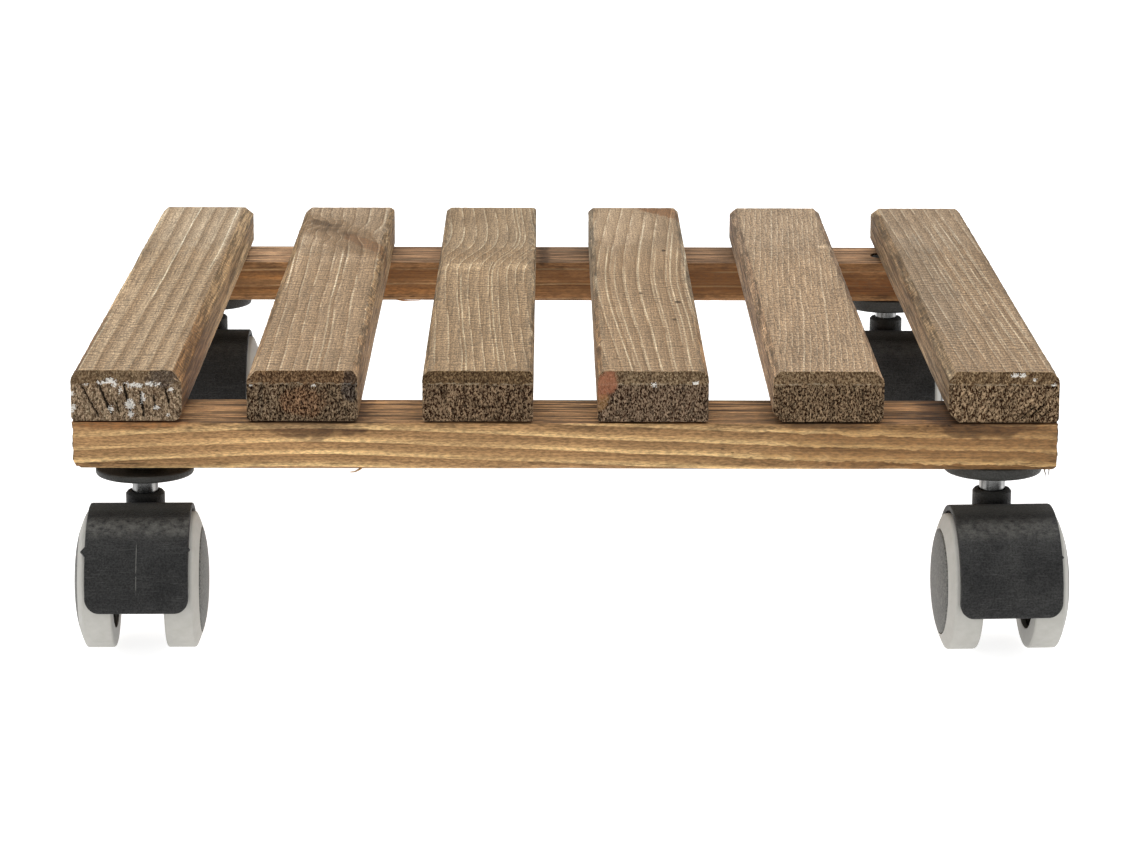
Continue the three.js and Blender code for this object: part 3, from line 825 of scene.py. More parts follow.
END_DARK = srgb(30, 12, 2)
RAIL_RINGS = (
    (0.00, srgb(130, 97, 64)),
    (0.16, srgb(138, 105, 69)),
    (0.48, srgb(153, 119, 80)),
    (0.66, srgb(184, 149, 102)),
    (0.82, srgb(212, 177, 124)),
    (0.94, srgb(212, 177, 125)),
    (1.00, srgb(130, 97, 64)),
)
RAIL_LINE = srgb(224, 194, 146)
REAR_RAIL_RINGS = (
    (0.00, srgb(116, 80, 48)),
    (0.30, srgb(128, 91, 56)),
    (0.60, srgb(142, 104, 68)),
    (0.90, srgb(112, 77, 46)),
    (1.00, srgb(116, 80, 48)),
)
PALE = srgb(182, 166, 140)
GLINT = srgb(178, 158, 124)
WHITE_CHIP = srgb(228, 224, 216)
DARK_TINT = (0.50, 0.47, 0.44, 1.0)
BROWN_TINT = (0.70, 0.63, 0.55, 1.0)
RED_TINT = (0.74, 0.56, 0.44, 1.0)
REDDISH_TINT = (1.12, 0.86, 0.74, 1.0)
PIT_TINT = (0.24, 0.22, 0.20, 1.0)
SALMON = srgb(152, 99, 74)
GOLDEN = srgb(140, 104, 66)
BLUE_TINT = (0.55, 0.62, 0.80, 1.0)
GREY_TINT = (0.84, 0.88, 0.93, 1.0)
HALO_TINT = (0.46, 0.44, 0.46, 1.0)
PALE_TINT = (1.28, 1.31, 1.36, 1.0)
CREAM_TINT = (1.70, 1.78, 1.86, 1.0)
ORANGE_TINT = (1.34, 1.26, 1.12, 1.0)

# A plank's look where its own table says nothing.
PLAIN_LOOK = {
    "rings": SLAT_RINGS, "line_color": SLAT_LINE, "end_rings": RINGED_END, "end_dark": END_DARK,
    "edge_color": PALE, "glint_color": GLINT, "torn": 1.0, "lip": 0.4, "lip_height": 0.0, "edge": 0.12,
    "lean": 0.0, "wander": 4.0, "waves": 1.0, "phase": 0.0, "fibre": 0.42, "fibre_up": 0.0,
    "fleck": 0.74, "hatch": 0.31, "saw_reach": (90, 10), "knots": (), "threads": (), "stains": (),
    "end_stains": (), "blushes": (), "cracks": (),
}
RAIL_END_TINT = (1.2, 1.1, 1.0, 1.0)
# The tops fade towards the rear: a stain on every slat.
REAR_HAZE = (0, 150, 60, 100, (1.02, 1.07, 1.14, 1.0), 1.0, 0)
# Each slat: the tree's heart in its section, how the grain leans, folds and swings along it, its
# knots (across, along, reach across, reach along, shift), threads (across, from, to, strength) and
# stains (across, along, reach across, reach along, tint, strength, slant). The stains on the ends are
# (across, up from the middle, reach across, reach up, tint, strength, slant).
# Each slat's tints for its top and for its long sides, front and rear, are painted light and shade.
SLAT_LOOKS = {
    "slat_1": {
        "seed": 1.3, "heart": (-60, -34), "lean": 0.006, "spacing": 4.4, "line": 0.15,
        "rings": BROAD_RINGS, "wander": 2.5, "top_painted_light": (1.02, 1.02, 1.01, 1.0),
        "side_painted_light": ((0.68, 0.50, 0.33, 1.0), (1.27, 1.22, 1.08, 1.0)),
        "end_tint": (1.62, 1.68, 1.92, 1.0), "bevel_tint": (1.16, 1.14, 1.18, 1.0), "lip": 0.0,
        "end_rings": PLAIN_END, "torn": 0.62,
        "threads": ((-3.6, -30, 150, 1.0), (10.9, 20, 150, 0.8), (-13.5, -150, -60, 0.5)),
        "stains": (
            (-6, -60, 10, 60, PALE_TINT, 0.25, 0), (0, 112, 22, 50, PALE_TINT, 0.75, 0),
            (-14, -20, 2.5, 60, PALE_TINT, 0.5, 0), (16.5, 10, 2.6, 120, BROWN_TINT, 0.6, 0),
            (-15.6, -15, 2.0, 36, CREAM_TINT, 0.8, 0), (-15.4, 122, 2.2, 30, CREAM_TINT, 0.6, 0),
        ),
        "end_stains": ((11, 6, 4.5, 3, BLUE_TINT, 0.9, 0), (-12, 5, 4, 3, BROWN_TINT, 0.4, 0)),
    },
    "slat_2": {
        "side_painted_light": ((1.08, 0.96, 0.85, 1.0), (1.12, 1.01, 0.84, 1.0)),
        "seed": 7.9, "heart": (44, -50), "lean": -0.008, "spacing": 2.7, "line": 0.5, "waves": 0.5,
        "top_painted_light": (1.05, 1.02, 0.99, 1.0), "end_rings": PLAIN_END,
        "end_tint": (0.92, 0.92, 1.01, 1.0), "bevel_tint": (0.94, 0.81, 0.76, 1.0),
        "knots": ((-10, 112, 7, 10, 6), (8, 88, 8, 16, -4), (-2, 82, 6, 8, 3)),
        "threads": ((2.8, -30, 51, 1.0), (2.9, -140, -30, 0.45), (-13.6, -10, 52, 0.9)),
        "stains": (
            (1, 84, 21, 27, BROWN_TINT, 0.8, -1.8), (10, 70, 9, 10, RED_TINT, 0.7, -1.8),
            (-5, 100, 12, 12, DARK_TINT, 0.22, -1.5),
            (-9, 112, 4, 6, DARK_TINT, 0.9, -1), (-3, 106, 3, 4, DARK_TINT, 0.8, 0),
            (-6, 99, 5, 4, DARK_TINT, 0.6, 0), (2, 90, 4, 4, DARK_TINT, 0.5, 0),
            (0, 136, 14, 10, PALE_TINT, 0.5, 0),
            (4, 40, 13, 9, PALE_TINT, 0.6, 0), (-9, 74, 7, 11, PALE_TINT, 0.7, -1.2),
            (-13, 30, 1.8, 26, PALE_TINT, 0.7, 0),
        ),
        "end_stains": (
            (14.5, 3.5, 2.6, 5, BLUE_TINT, 1.1, 0), (0, -1.5, 7, 5, REDDISH_TINT, 0.8, 0),
            (-12.5, 0, 0.7, 6, GREY_TINT, 1.2, 0), (-9.2, -1, 0.6, 6, PALE_TINT, 0.8, 0),
        ),
    },
    "slat_3": {
        "side_painted_light": ((1.02, 0.96, 0.86, 1.0), (1.02, 0.96, 0.86, 1.0)),
        "seed": 13.7, "heart": (-50, -40), "lean": -0.036, "swing": (50, 22, 13),
        "spacing": 2.4, "line": 0.55, "saw_reach": (40, 0), "top_painted_light": (1.0, 0.97, 0.91, 1.0),
        "end_tint": (1.00, 0.96, 1.03, 1.0), "bevel_tint": (0.84, 0.77, 0.71, 1.0),
        "end_rings": PLAIN_END,
        "threads": ((-9, -150, 10, 0.6), (1.5, -150, 150, 0.55), (8, 40, 150, 0.6)),
        "stains": (
            (-7, 26, 8, 7, CREAM_TINT, 0.62, 0), (11, 26, 4, 7, CREAM_TINT, 0.5, 0),
            (0, 50, 18, 13, BROWN_TINT, 0.35, 0), (-6, 128, 10, 20, BROWN_TINT, 0.3, 0),
        ),
    },
    "slat_4": {
        "side_painted_light": ((1.08, 0.90, 0.73, 1.0), (1.00, 1.03, 1.05, 1.0)),
        "seed": 19.1, "heart": (52, -44), "fold": (0, 0.062, 55), "spacing": 3.4, "line": 0.4,
        "wander": 2.0, "waves": 0.6, "saw_reach": (40, 0), "top_painted_light": (1.0, 0.96, 0.91, 1.0),
        "end_tint": (1.03, 1.02, 1.18, 1.0), "bevel_tint": (1.15, 1.14, 1.18, 1.0),
        "end_rings": PLAIN_END, "knots": ((12, -150, 12, 60, -4),),
        "threads": (
            (-12, -150, 60, 0.8), (-9, -150, 40, 0.6), (-5.5, -150, 20, 0.5), (-1, -150, 110, 0.85),
            (4.5, -150, 60, 0.6), (10, -150, 90, 0.85), (12.2, -100, 60, 0.6), (15, -150, 90, 0.8),
        ),
        "stains": (
            (10, 140, 12, 11, RED_TINT, 1.2, -1.5), (-6, 106, 13, 42, PALE_TINT, 1.1, 0),
            (9, 57, 0.8, 2.0, PIT_TINT, 1.2, 0), (-1, -22, 0.8, 1.8, PIT_TINT, 1.0, 0),
            (11, -37, 1.2, 2.0, PIT_TINT, 1.3, 0), (9, -67, 0.7, 1.8, PIT_TINT, 0.9, 0),
        ),
        "blushes": (
            (-14.6, 3.4, 4.0, 4.0, SALMON, 0.75, 0.6), (-15.4, -1.4, 2.2, 3.0, GOLDEN, 0.5, 0.6),
        ),
    },
    "slat_5": {
        "side_painted_light": ((1.27, 1.18, 1.14, 1.0), (1.00, 0.92, 0.91, 1.0)),
        "seed": 26.3, "heart": (-70, -36), "lean": 0.05, "spacing": 1.6, "line": 0.5,
        "hatch": 0.2, "fleck": 0.95, "saw_reach": (140, 20), "top_painted_light": (1.10, 1.08, 1.08, 1.0),
        "end_tint": (1.00, 0.97, 1.02, 1.0), "bevel_tint": (1.17, 1.13, 1.14, 1.0),
        "end_rings": PLAIN_END,
        "threads": ((-9, 20, 150, 0.4), (0.5, -150, -20, 0.5), (8, -120, 30, 0.4)),
        "stains": ((14.2, 66, 3.0, 4, CREAM_TINT, 1.1, 0),),
    },
    "slat_6": {
        "side_painted_light": ((0.98, 0.94, 0.85, 1.0), (0.84, 0.74, 0.62, 1.0)),
        "seed": 33.7, "heart": (56, -52), "lean": -0.024, "spacing": 2.9, "line": 0.42,
        "wander": 1.5, "waves": 0.6, "top_painted_light": (0.96, 0.94, 0.93, 1.0),
        "end_tint": (1.33, 1.30, 1.36, 1.0), "bevel_tint": (1.20, 1.14, 1.10, 1.0),
        "threads": (
            (2.5, -150, 110, 0.5), (5.4, -150, 120, 0.5), (8.2, -130, 120, 0.6),
            (11.2, -100, 130, 0.5), (-1.0, -120, 60, 0.45), (-4.3, -40, 100, 0.4),
        ),
        "stains": (
            (-9, 0, 8, 100, GREY_TINT, 0.9, 0), (-6, -40, 7, 50, PALE_TINT, 0.3, 0),
            (14.5, -95, 3, 60, PALE_TINT, 0.5, 0),
        ),
    },
}
# A rail's top tint is painted light or shade; the front rail's top is painted darker.
RAIL_LOOKS = {
    "front_rail": {
        "seed": 41.3, "heart": (38, -25), "fold": (-74, -0.05, 18), "swing": (110, 40, 3.0),
        "spacing": 3.9, "phase": 0.43, "rings": RAIL_RINGS, "line_color": RAIL_LINE, "line": 0.0,
        "wander": 2.4, "waves": 1.6, "ripple": (20, 100, 3.0), "fibre": 0.42, "fibre_up": 0.6,
        "fleck": 0.62, "hatch": 0.0, "top_painted_light": (0.60, 0.58, 0.58, 1.0),
        "up_plain": srgb(166, 127, 86), "grooves": 1.45, "calm": (srgb(160, 124, 84), 0.62),
        "stains": (
            (-8.2, -64, 1.1, 3.0, CREAM_TINT, 1.0, 0), (-8.8, 147, 1.5, 3.0, PIT_TINT, 1.5, 0),
            (8, -134, 3.2, 20, RED_TINT, 0.8, 0), (8.2, -78, 6.0, 17, HALO_TINT, 1.7, 0),
            (9, 78, 3.6, 15, HALO_TINT, 0.7, 0), (8.2, 126, 5.4, 17, HALO_TINT, 1.6, 0),
            (8.1, 102, 1.5, 16, PALE_TINT, 1.3, 0), (1, 116, 14, 50, BROWN_TINT, 0.8, 0),
            (-6, -40, 2.0, 60, PALE_TINT, 0.35, 0),
        ),
    },
    "rear_rail": {
        "seed": 57.1, "heart": (30, -24), "lean": 0.004, "spacing": 5.6,
        "rings": REAR_RAIL_RINGS, "line_color": RAIL_LINE, "line": 0.2,
        "wander": 7.0, "waves": 3.0, "fibre": 0.5, "fibre_up": 0.5, "fleck": 0.4, "hatch": 0.0,
        "top_painted_light": (0.96, 1.02, 1.14, 1.0), "up_plain": srgb(134, 102, 72), "grooves": 1.3,
        "calm": (srgb(118, 82, 51), 0.75),
        "stains": (
            (-6.7, 0, 1.3, 400, PALE_TINT, 0.8, 0), (7.2, -100, 0.5, 22, CREAM_TINT, 0.9, 0),
            (-3.4, -70, 1.3, 50, ORANGE_TINT, 1.0, 0), (1.6, -92, 0.9, 26, ORANGE_TINT, 1.0, 0),
            (2.5, -55, 2.0, 26, BROWN_TINT, 0.8, 0), (0.5, 60, 5.0, 62, BROWN_TINT, 0.8, 0),
            (3.4, 112, 0.7, 24, PALE_TINT, 1.0, 0), (-2.0, 110, 3.0, 26, RED_TINT, 0.7, 0),
            (-7.4, -58, 0.8, 7, CREAM_TINT, 1.5, 0), (9.4, -7, 3.0, 3, PIT_TINT, 0.8, 0),
        ),
    },
}

# Each slat's upper and then lower long edges, left and right, are cut back by these amounts.
UPPER_CHAMFERS = {
    "slat_1": (1.9, 3.0), "slat_2": (2.4, 1.4), "slat_3": (1.5, 0.7),
    "slat_4": (1.5, 1.5), "slat_5": (2.2, 2.2), "slat_6": (2.3, 2.0),
}
LOWER_CHAMFERS = {
    "slat_1": (1.0, 2.0), "slat_2": (0.8, 0.8), "slat_3": (0.5, 0.5),
    "slat_4": (0.5, 0.5), "slat_5": (3.0, 1.2), "slat_6": (3.3, 0.8),
}
# How far each slat's upper long edges, left and right, waver.
EDGE_WAVER = {"slat_2": (0.4, 1.3), "slat_3": (0.4, 0.9), "slat_5": (0.6, 0.4), "slat_6": (0.6, 0.4)}
# Torn fibres on a rail's lower front edge: a radius and a path about the rail's centre.
FIBRE_SIDES = 7
SPLINTERS = {
    "front_rail": (
        (0.42, ((-61.6, -15.4, -6.6), (-62.8, -15.9, -7.5), (-64.0, -16.1, -8.1), (-65.6, -16.0, -8.3))),
        (0.24, ((146.0, -15.6, -6.6), (146.1, -15.9, -7.8), (146.5, -16.1, -8.8), (146.4, -16.0, -9.6))),
        (0.20, ((147.3, -15.5, -6.4), (147.4, -15.8, -7.6), (147.2, -16.0, -8.5), (147.3, -16.0, -9.2))),
    ),
    "rear_rail": (
        (0.36, ((-61.8, -15.6, -6.7), (-59.0, -16.0, -7.3), (-56.0, -15.9, -7.4), (-52.6, -15.8, -7.2))),
    ),
}
# Pale chips on the front ends: (across, up from the underside, reach, how flat).
END_CHIPS = {
    "slat_1": (
        (-7.0, 12.2, 1.8, 2.6), (-4.6, 12.5, 2.2, 2.6), (-3.4, 11.6, 1.1, 1.0), (1.6, 11.5, 2.2, 2.4),
        (3.8, 11.2, 1.4, 1.2), (6.8, 11.8, 1.8, 2.6), (9.8, 11.7, 1.5, 2.6), (0.9, 5.2, 1.5, 0.8),
        (1.4, 2.6, 1.1, 0.8), (9.0, 4.2, 1.0, 1.2), (-16.0, 4.0, 1.4, 0.8), (-16.6, 8.4, 1.0, 0.8),
        (5.2, 7.6, 1.1, 0.5), (-4.6, 3.8, 0.9, 1.0), (12.6, 2.0, 0.9, 1.4), (-1.6, 9.6, 0.9, 0.6),
        (13.6, 9.8, 0.9, 1.0), (-12.2, 11.6, 1.0, 2.0),
    ),
    "slat_2": ((3.5, 11.3, 0.8, 1.6), (-15.6, 11.2, 0.7, 1.6)),
    "slat_4": ((0.2, 11.6, 1.0, 1.0), (13.0, 12.3, 1.0, 1.6)),
    "slat_6": (
        (3.2, 14.6, 1.1, 1.2), (5.6, 14.4, 1.3, 1.8), (9.6, 13.4, 0.9, 1.4), (15.0, 12.0, 0.9, 1.6),
    ),
}
# Splits in the front ends: (across, up from the middle, direction in degrees, length, half width).
END_CRACKS = {
    "slat_1": (
        (-11.0, -1.2, 118, 11.0, 0.22), (-6.4, -0.8, 113, 10.0, 0.36), (0.4, -1.0, 103, 10.5, 0.36),
        (4.8, -2.2, 100, 8.5, 0.36), (8.6, -1.5, 95, 4.5, 0.26), (12.4, 0.2, 104, 5.5, 0.34),
        (-2.6, -3.4, 108, 4.5, 0.22),
    ),
    "slat_6": ((7.0, -4.6, 42, 5.5, 0.22), (10.2, -3.8, 42, 6.0, 0.25), (13.0, -4.4, 42, 4.0, 0.2)),
}


def end_marks(points, half, marks, cracks):
    """How much each point lies in a chip and in a crack of the plank's front end."""
    chip = np.zeros(len(points))
    crack = np.zeros(len(points))
    at_front = (points[:, 1] < -half[1] + SLAT_END_BEVEL + 0.5).astype(float)
    up = points[:, 2] + half[2]
    ragged = layered_noise(points * 0.9, 71, 2)
    for across, height, reach, flatness in marks:
        distance = np.hypot(points[:, 0] - across, flatness * (up - height)) / reach
        chip = np.maximum(chip, np.clip(1.6 * (1.0 - distance + 0.7 * ragged), 0, 1))
    for across, height, turn, length, half_width in cracks:
        angle = math.radians(turn)
        dx, dz = points[:, 0] - across, points[:, 2] - height
        run = dx * math.cos(angle) + dz * math.sin(angle)
        off = dz * math.cos(angle) - dx * math.sin(angle) + 0.9 * ragged
        inside = np.clip(1.5 - np.abs(off) / half_width, 0, 1)
        crack = np.maximum(crack, inside * np.clip(1.2 - np.abs(run) / (length / 2), 0, 1))
    return chip * at_front, crack * at_front


def plank_mesh(name, size, chamfers, grain_axis, seed, marks=(), cracks=()):
    """A sawn plank about its own centre: chamfered edges, rough end grain, slightly uneven faces."""
    half = np.array(size) / 2
    stations = []
    for axis in range(3):
        edge = END_FINE_REACH if axis == grain_axis else EDGE_FINE_REACH
        coarse = PLANK_COARSE if axis == grain_axis else PLANK_FINE
        stations.append(graded(size[axis], edge, PLANK_FINE, coarse))
    points, faces = block_skin(*stations)
    drift = smooth_noise(points * 0.05, seed) * 0.5 + smooth_noise(points * 0.3, seed + 1) * 0.5
    for _ in range(2):
        for axes, signs, amount, waver in chamfers:
            points = chamfer(points, half, axes, signs, amount + waver * (drift + 0.4))
    mesh = mesh_of(name, points, faces)
    normals = np.zeros(3 * len(points))
    mesh.vertex_normals.foreach_get("vector", normals)
    normals = normals.reshape(-1, 3)

    chip, crack = end_marks(points, half, marks, cracks)
    at_end = np.clip((np.abs(normals[:, grain_axis]) - 0.3) / 0.5, 0, 1)
    stretch = np.array([0.85, 0.85, 0.45])
    stretch[grain_axis] = 0.1
    rough = 0.5 + 0.5 * layered_noise(points * stretch, seed + 5, 3)
    along = np.full(3, 0.9)
    along[grain_axis] = 0.02
    ridges = 0.5 + 0.5 * smooth_noise(points * along, seed + 9)
    sag = 0.5 + 0.5 * smooth_noise(points * 0.03, seed + 13)
    depth = at_end * (END_ROUGHNESS * 2 * rough + CHIP_DEPTH * chip + CRACK_DEPTH * crack)
    depth += (1 - at_end) * FACE_ROUGHNESS * (ridges + sag)
    limit = half - BOX_MARGIN
    moved = np.clip(points - normals * np.maximum(depth, 0.0)[:, None], -limit, limit)
    mesh.vertices.foreach_set("co", (moved * MM).ravel())

    unit_off = np.sort(half - np.abs(points), axis=1)
    edge = np.clip(1.0 - (unit_off[:, 0] + unit_off[:, 1] - WORN_EDGE_REACH) / WORN_EDGE_FADE, 0, 1)
    edge *= np.clip(0.5 + layered_noise(points * 0.35, seed + 21, 2), 0, 1)
    for key, values in (("chip", chip), ("edge", edge)):
        layer = mesh.attributes.new(key, "FLOAT", "POINT")
        layer.data.foreach_set("value", values.astype(np.float32))
    return mesh


def node_box(node):
    """A CAD node's centre and size."""
    low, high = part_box(node)
    return np.array((low + high) / 2) / MM, np.array(high - low) / MM


def screw_holes(node_centre, size):
    """Cutters for the screws that enter a plank, about the plank's centre."""
    cutters = []
    for end in ("front", "rear"):
        for number in SLAT_NUMBERS:
            centre, extent = node_box(f"{end}_screw_{number}")
            off = centre - node_centre
            if np.all(np.abs(off[:2]) < size[:2] / 2):
                outline = screw_profile(extent[2], GAP, SCREW_CUT_BELOW)
                mesh = turned_mesh("hole", outline, SCREW_HOLE_SIDES)
                base = centre[2] - extent[2] / 2
                cutters.append(shifted(mesh, off[0], off[1], base - node_centre[2]))
    return cutters


def sleeve_holes(node_centre, size):
    cutters = []
    for caster in CASTERS:
        centre, _ = node_box(f"{caster}_stem")
        off = centre - node_centre
        if np.all(np.abs(off[:2]) < size[:2] / 2):
            outline = rod_outline(BARREL_RADIUS + GAP, -size[2], size[2])
            cutters.append(shifted(turned_mesh("hole", outline, SLEEVE_HOLE_SIDES), off[0], off[1], 0))
    return cutters


def placed(centre):
    return Matrix.Translation(Vector(centre) * MM)


def edge_pair(axes, side, sizes, wavers=(0.2, 0.2)):
    """Cuts along the two edges of a plank on one side of the second axis: how deep each one is and
    how much it wavers."""
    return [(axes, (sign, side), size, waver) for sign, size, waver in zip((-1, 1), sizes, wavers)]


def eased(axes, side):
    return edge_pair(axes, side, (CORNER_EASE, CORNER_EASE))


def make_slat(name, number):
    centre, size = node_box(name)
    upper_left, upper_right = UPPER_CHAMFERS[name]
    left, right = LOWER_CHAMFERS[name]
    waver_left, waver_right = EDGE_WAVER.get(name, (0.3, 0.3))
    chamfers = [
        *edge_pair((X, Z), 1, (upper_left, upper_right), (waver_left, waver_right)),
        *edge_pair((X, Z), -1, (left, right)),
        *edge_pair((Y, Z), 1, (SLAT_END_BEVEL, SLAT_END_BEVEL)),
        *eased((Y, Z), -1), *eased((X, Y), -1), *eased((X, Y), 1),
    ]
    mesh = plank_mesh(
        f"{name}_plank", size, chamfers, Y, SLAT_SEED + SEED_STEP * number,
        # The part of a hood's seam with a painted highlight: its lowest and highest points and how
        # strong it is.
        END_CHIPS.get(name, ()), END_CRACKS.get(name, ()),
    )
    mesh = combined(mesh, screw_holes(centre, size), "DIFFERENCE")
    stains = (*SLAT_LOOKS[name]["stains"], REAR_HAZE)
    look = {
        **PLAIN_LOOK, "chip_color": WHITE_CHIP, "cracks": END_CRACKS.get(name, ()),
        "lip_height": size[2] / 2 - SLAT_END_BEVEL, **SLAT_LOOKS[name], "stains": stains,
    }
    material = wood_material(f"{name}_wood", look)
    add_piece(f"{name}_plank", mesh, placed(centre), "deck", material, [name], PLANK_CREASE)


def fibre_mesh(path, radius):
    """A torn fibre along a path of points, thinning to its tip."""
    points = []
    count = len(path)
    for n, middle in enumerate(path):
        thick = radius * (1.0 - 0.75 * n / (count - 1))
        ahead = np.array(path[min(n + 1, count - 1)], float) - np.array(path[max(n - 1, 0)], float)
        ahead /= np.linalg.norm(ahead)
        first = np.cross(ahead, (0.0, 1.0, 0.0))
        first /= np.linalg.norm(first)
        second = np.cross(ahead, first)
        for side in range(FIBRE_SIDES):
            angle = 2 * math.pi * side / FIBRE_SIDES
            points.append(middle + thick * (math.cos(angle) * first + math.sin(angle) * second))
    faces = [tuple(range(FIBRE_SIDES)), tuple(range((count - 1) * FIBRE_SIDES, count * FIBRE_SIDES))]
    for n in range(count - 1):
        for side in range(FIBRE_SIDES):
            after = (side + 1) % FIBRE_SIDES
            low, high = n * FIBRE_SIDES, (n + 1) * FIBRE_SIDES
            faces.append((low + side, low + after, high + after, high + side))
    return mesh_of("fibre", points, faces)


def make_rail(name, number):
    centre, size = node_box(name)
    chamfers = [
        *edge_pair((X, Z), -1, (RAIL_LEFT_CHAMFER, RAIL_RIGHT_CHAMFER), (0.5, 0.5)),
        *edge_pair((Y, Z), -1, (RAIL_EDGE_CHAMFER, RAIL_EDGE_CHAMFER), (0.3, 0.3)),
        *eased((Y, Z), 1), *eased((X, Y), -1), *eased((X, Y), 1),
    ]
    mesh = plank_mesh(f"{name}_plank", size, chamfers, X, RAIL_SEED + SEED_STEP * number)
    holes = screw_holes(centre, size) + sleeve_holes(centre, size)
    mesh = combined(mesh, holes, "DIFFERENCE")
    if name in SPLINTERS:
        fibres = [fibre_mesh(path, radius) for radius, path in SPLINTERS[name]]
        mesh = combined(mesh, fibres, "UNION")
    look = {
        **PLAIN_LOOK, "chip_color": PALE, "edge": 0.0, "lip": 0.0, "end_tint": RAIL_END_TINT,
        "bevel_tint": RAIL_END_TINT, **RAIL_LOOKS[name],
    }
    material = wood_material(f"{name}_wood", look, "ZXY")
    add_piece(f"{name}_plank", mesh, placed(centre), "deck", material, [name], PLANK_CREASE)


# ---------------------------------------------------------------- metal, plastic and rubber

def steel_material():
    g = Graph("bright_steel")
    brushed = g.noise((0.9, 0.9, 9.0), 3.0, 0.6, 2.0)
    patches = g.noise((0.35, 0.35, 0.35), 3.0, 0.6, 5.0)
    streaks = g.crisp(g.noise((0.55, 0.55, 0.03), 2.0, 0.6, 11.0), 0.1)
    color = g.ramp(patches, ((0.3, srgb(132, 132, 131)), (0.7, srgb(158, 158, 157))))
    color = g.shade(color, g.linear(brushed, 0.2, 0.9))
    color = g.shade(color, g.linear(streaks, 0.7, 0.5))
    roughness = g.linear(brushed, 0.22, 0.12)
    return g.finish(color, roughness, g.bump(brushed, 0.02, 0.5), Metallic=1.0)


def screw_material():
    g = Graph("zinc_plate")
    patches = g.noise((0.9, 0.9, 0.9), 3.0, 0.6, 8.0)
    color = g.ramp(patches, ((0.3, srgb(150, 142, 118)), (0.7, srgb(196, 190, 170))))
    roughness = g.linear(patches, 0.3, 0.22)
    return g.finish(color, roughness, g.bump(patches, 0.05, 0.5), Metallic=1.0)


# How much painted light or shade each caster's black plastic gets, and its shoulder's painted highlight.
PLASTIC_PAINTED_LIGHT = {"front_left": 0.88, "front_right": 1.4, "rear_left": 0.45, "rear_right": 0.85}
SHOULDER_HIGHLIGHT = {"front_left": 0.7, "front_right": 0.6, "rear_left": 0.15, "rear_right": 0.2}
# The grey of the painted highlight on the shoulder and of the painted light on the neck.
PAINTED_LIGHT_PLASTIC = srgb(96, 95, 90)
# How far up the surface faces where the hood's shoulder gets a painted highlight and its crest painted
# shade.
SHOULDER_FACING = 0.835
CREST_SHADE_FACING = (0.86, 0.97)
PLASTIC_SEED = 50.0
PLASTIC_SEED_STEP = 13.0


def black_plastic_material(caster, seed):
    """Black moulded plastic with a fine spark-eroded texture, flow marks, scratches, dust, and painted
    light and shade.
    """
    g = Graph(f"{caster}_black_plastic")
    texture = g.crisp(g.noise((1.9, 1.9, 1.9), 3.0, 0.6, seed + 4), 0.14)
    dapple = g.noise((0.8, 0.8, 0.8), 3.0, 0.55, seed + 9)
    dust = g.crisp(g.noise((0.09, 0.09, 0.09), 4.0, 0.6, seed + 14), 0.2)
    scratches = g.remap(g.noise((0.12, 3.2, 3.2), 2.0, 0.6, seed + 19), 0.58, 0.68)
    specks = g.remap(g.cells((0.7, 0.7, 0.7), seed + 3), 0.12, 0.05)
    color = g.mix(dust, srgb(17, 17, 17), srgb(36, 36, 35))
    # Painted light or shade: each caster's copy of the plastic is made lighter or darker.
    shade = PLASTIC_PAINTED_LIGHT[caster]
    color = g.shade(color, g.linear(texture, 0.6 * shade, 0.7 * shade))
    facing = g.node("ShaderNodeSeparateXYZ")
    g.link(g.normal, facing.inputs[0])
    # A painted highlight on the shoulder, where the surface faces up at a slant.
    slope = g.linear(facing.outputs["Z"], 1.0, -SHOULDER_FACING)
    shoulder = g.remap(g.math("ABSOLUTE", slope), 0.15, 0.03)
    highlight_mask = g.times(shoulder, g.crisp(g.noise((0.45, 0.45, 0.45), 4.0, 0.7, seed + 24), 0.2))
    color = g.mix(g.times(highlight_mask, SHOULDER_HIGHLIGHT[caster]), color, PAINTED_LIGHT_PLASTIC)
    # Painted shade on the crest, which faces up towards the deck; its shine is lowered there too.
    painted_crest_shade = g.remap(facing.outputs["Z"], *CREST_SHADE_FACING)
    color = g.shade(color, g.linear(painted_crest_shade, -0.45, 1.0))
    # Painted light on the top of the neck, which stands in shade under the deck.
    neck = g.remap(g.axes["Z"], NECK_TOP - 2.8, NECK_TOP - 0.8)
    color = g.mix(g.times(neck, 0.3), color, PAINTED_LIGHT_PLASTIC)
    color = g.mix(g.times(specks, 0.3), color, srgb(108, 107, 103))
    color = g.mix(g.times(scratches, 0.2), color, srgb(90, 90, 88))
    # A painted highlight along part of the seam.
    faint = g.remap(dapple, 0.35, 0.5)
    color = g.mix(g.times(g.times(g.attribute("seam_highlight"), faint), 0.75), color, srgb(128, 127, 122))
    roughness = g.linear(dapple, 0.3, 0.38)
    shine = g.times(g.linear(texture, 0.12, 0.22), g.linear(painted_crest_shade, -0.5, 1.0))
    height = g.sum(texture, g.times(dapple, 0.8))
    return g.finish(color, roughness, g.bump(height, 0.12, 0.8), **{"Specular IOR Level": shine})


def grey_plastic_material():
    """Grey moulded plastic with a coarse grain."""
    g = Graph("grey_moulded_plastic")
    texture = g.crisp(g.noise((1.3, 1.3, 1.3), 3.0, 0.7, 21.0), 0.15)
    dapple = g.noise((0.5, 0.5, 0.5), 3.0, 0.6, 25.0)
    color = g.ramp(dapple, ((0.3, srgb(82, 82, 78)), (0.75, srgb(97, 96, 92))))
    color = g.shade(color, g.linear(texture, 1.1, 0.45))
    roughness = g.linear(texture, 0.15, 0.45)
    return g.finish(color, roughness, g.bump(texture, 0.1, 0.6), **{"Specular IOR Level": 0.35})


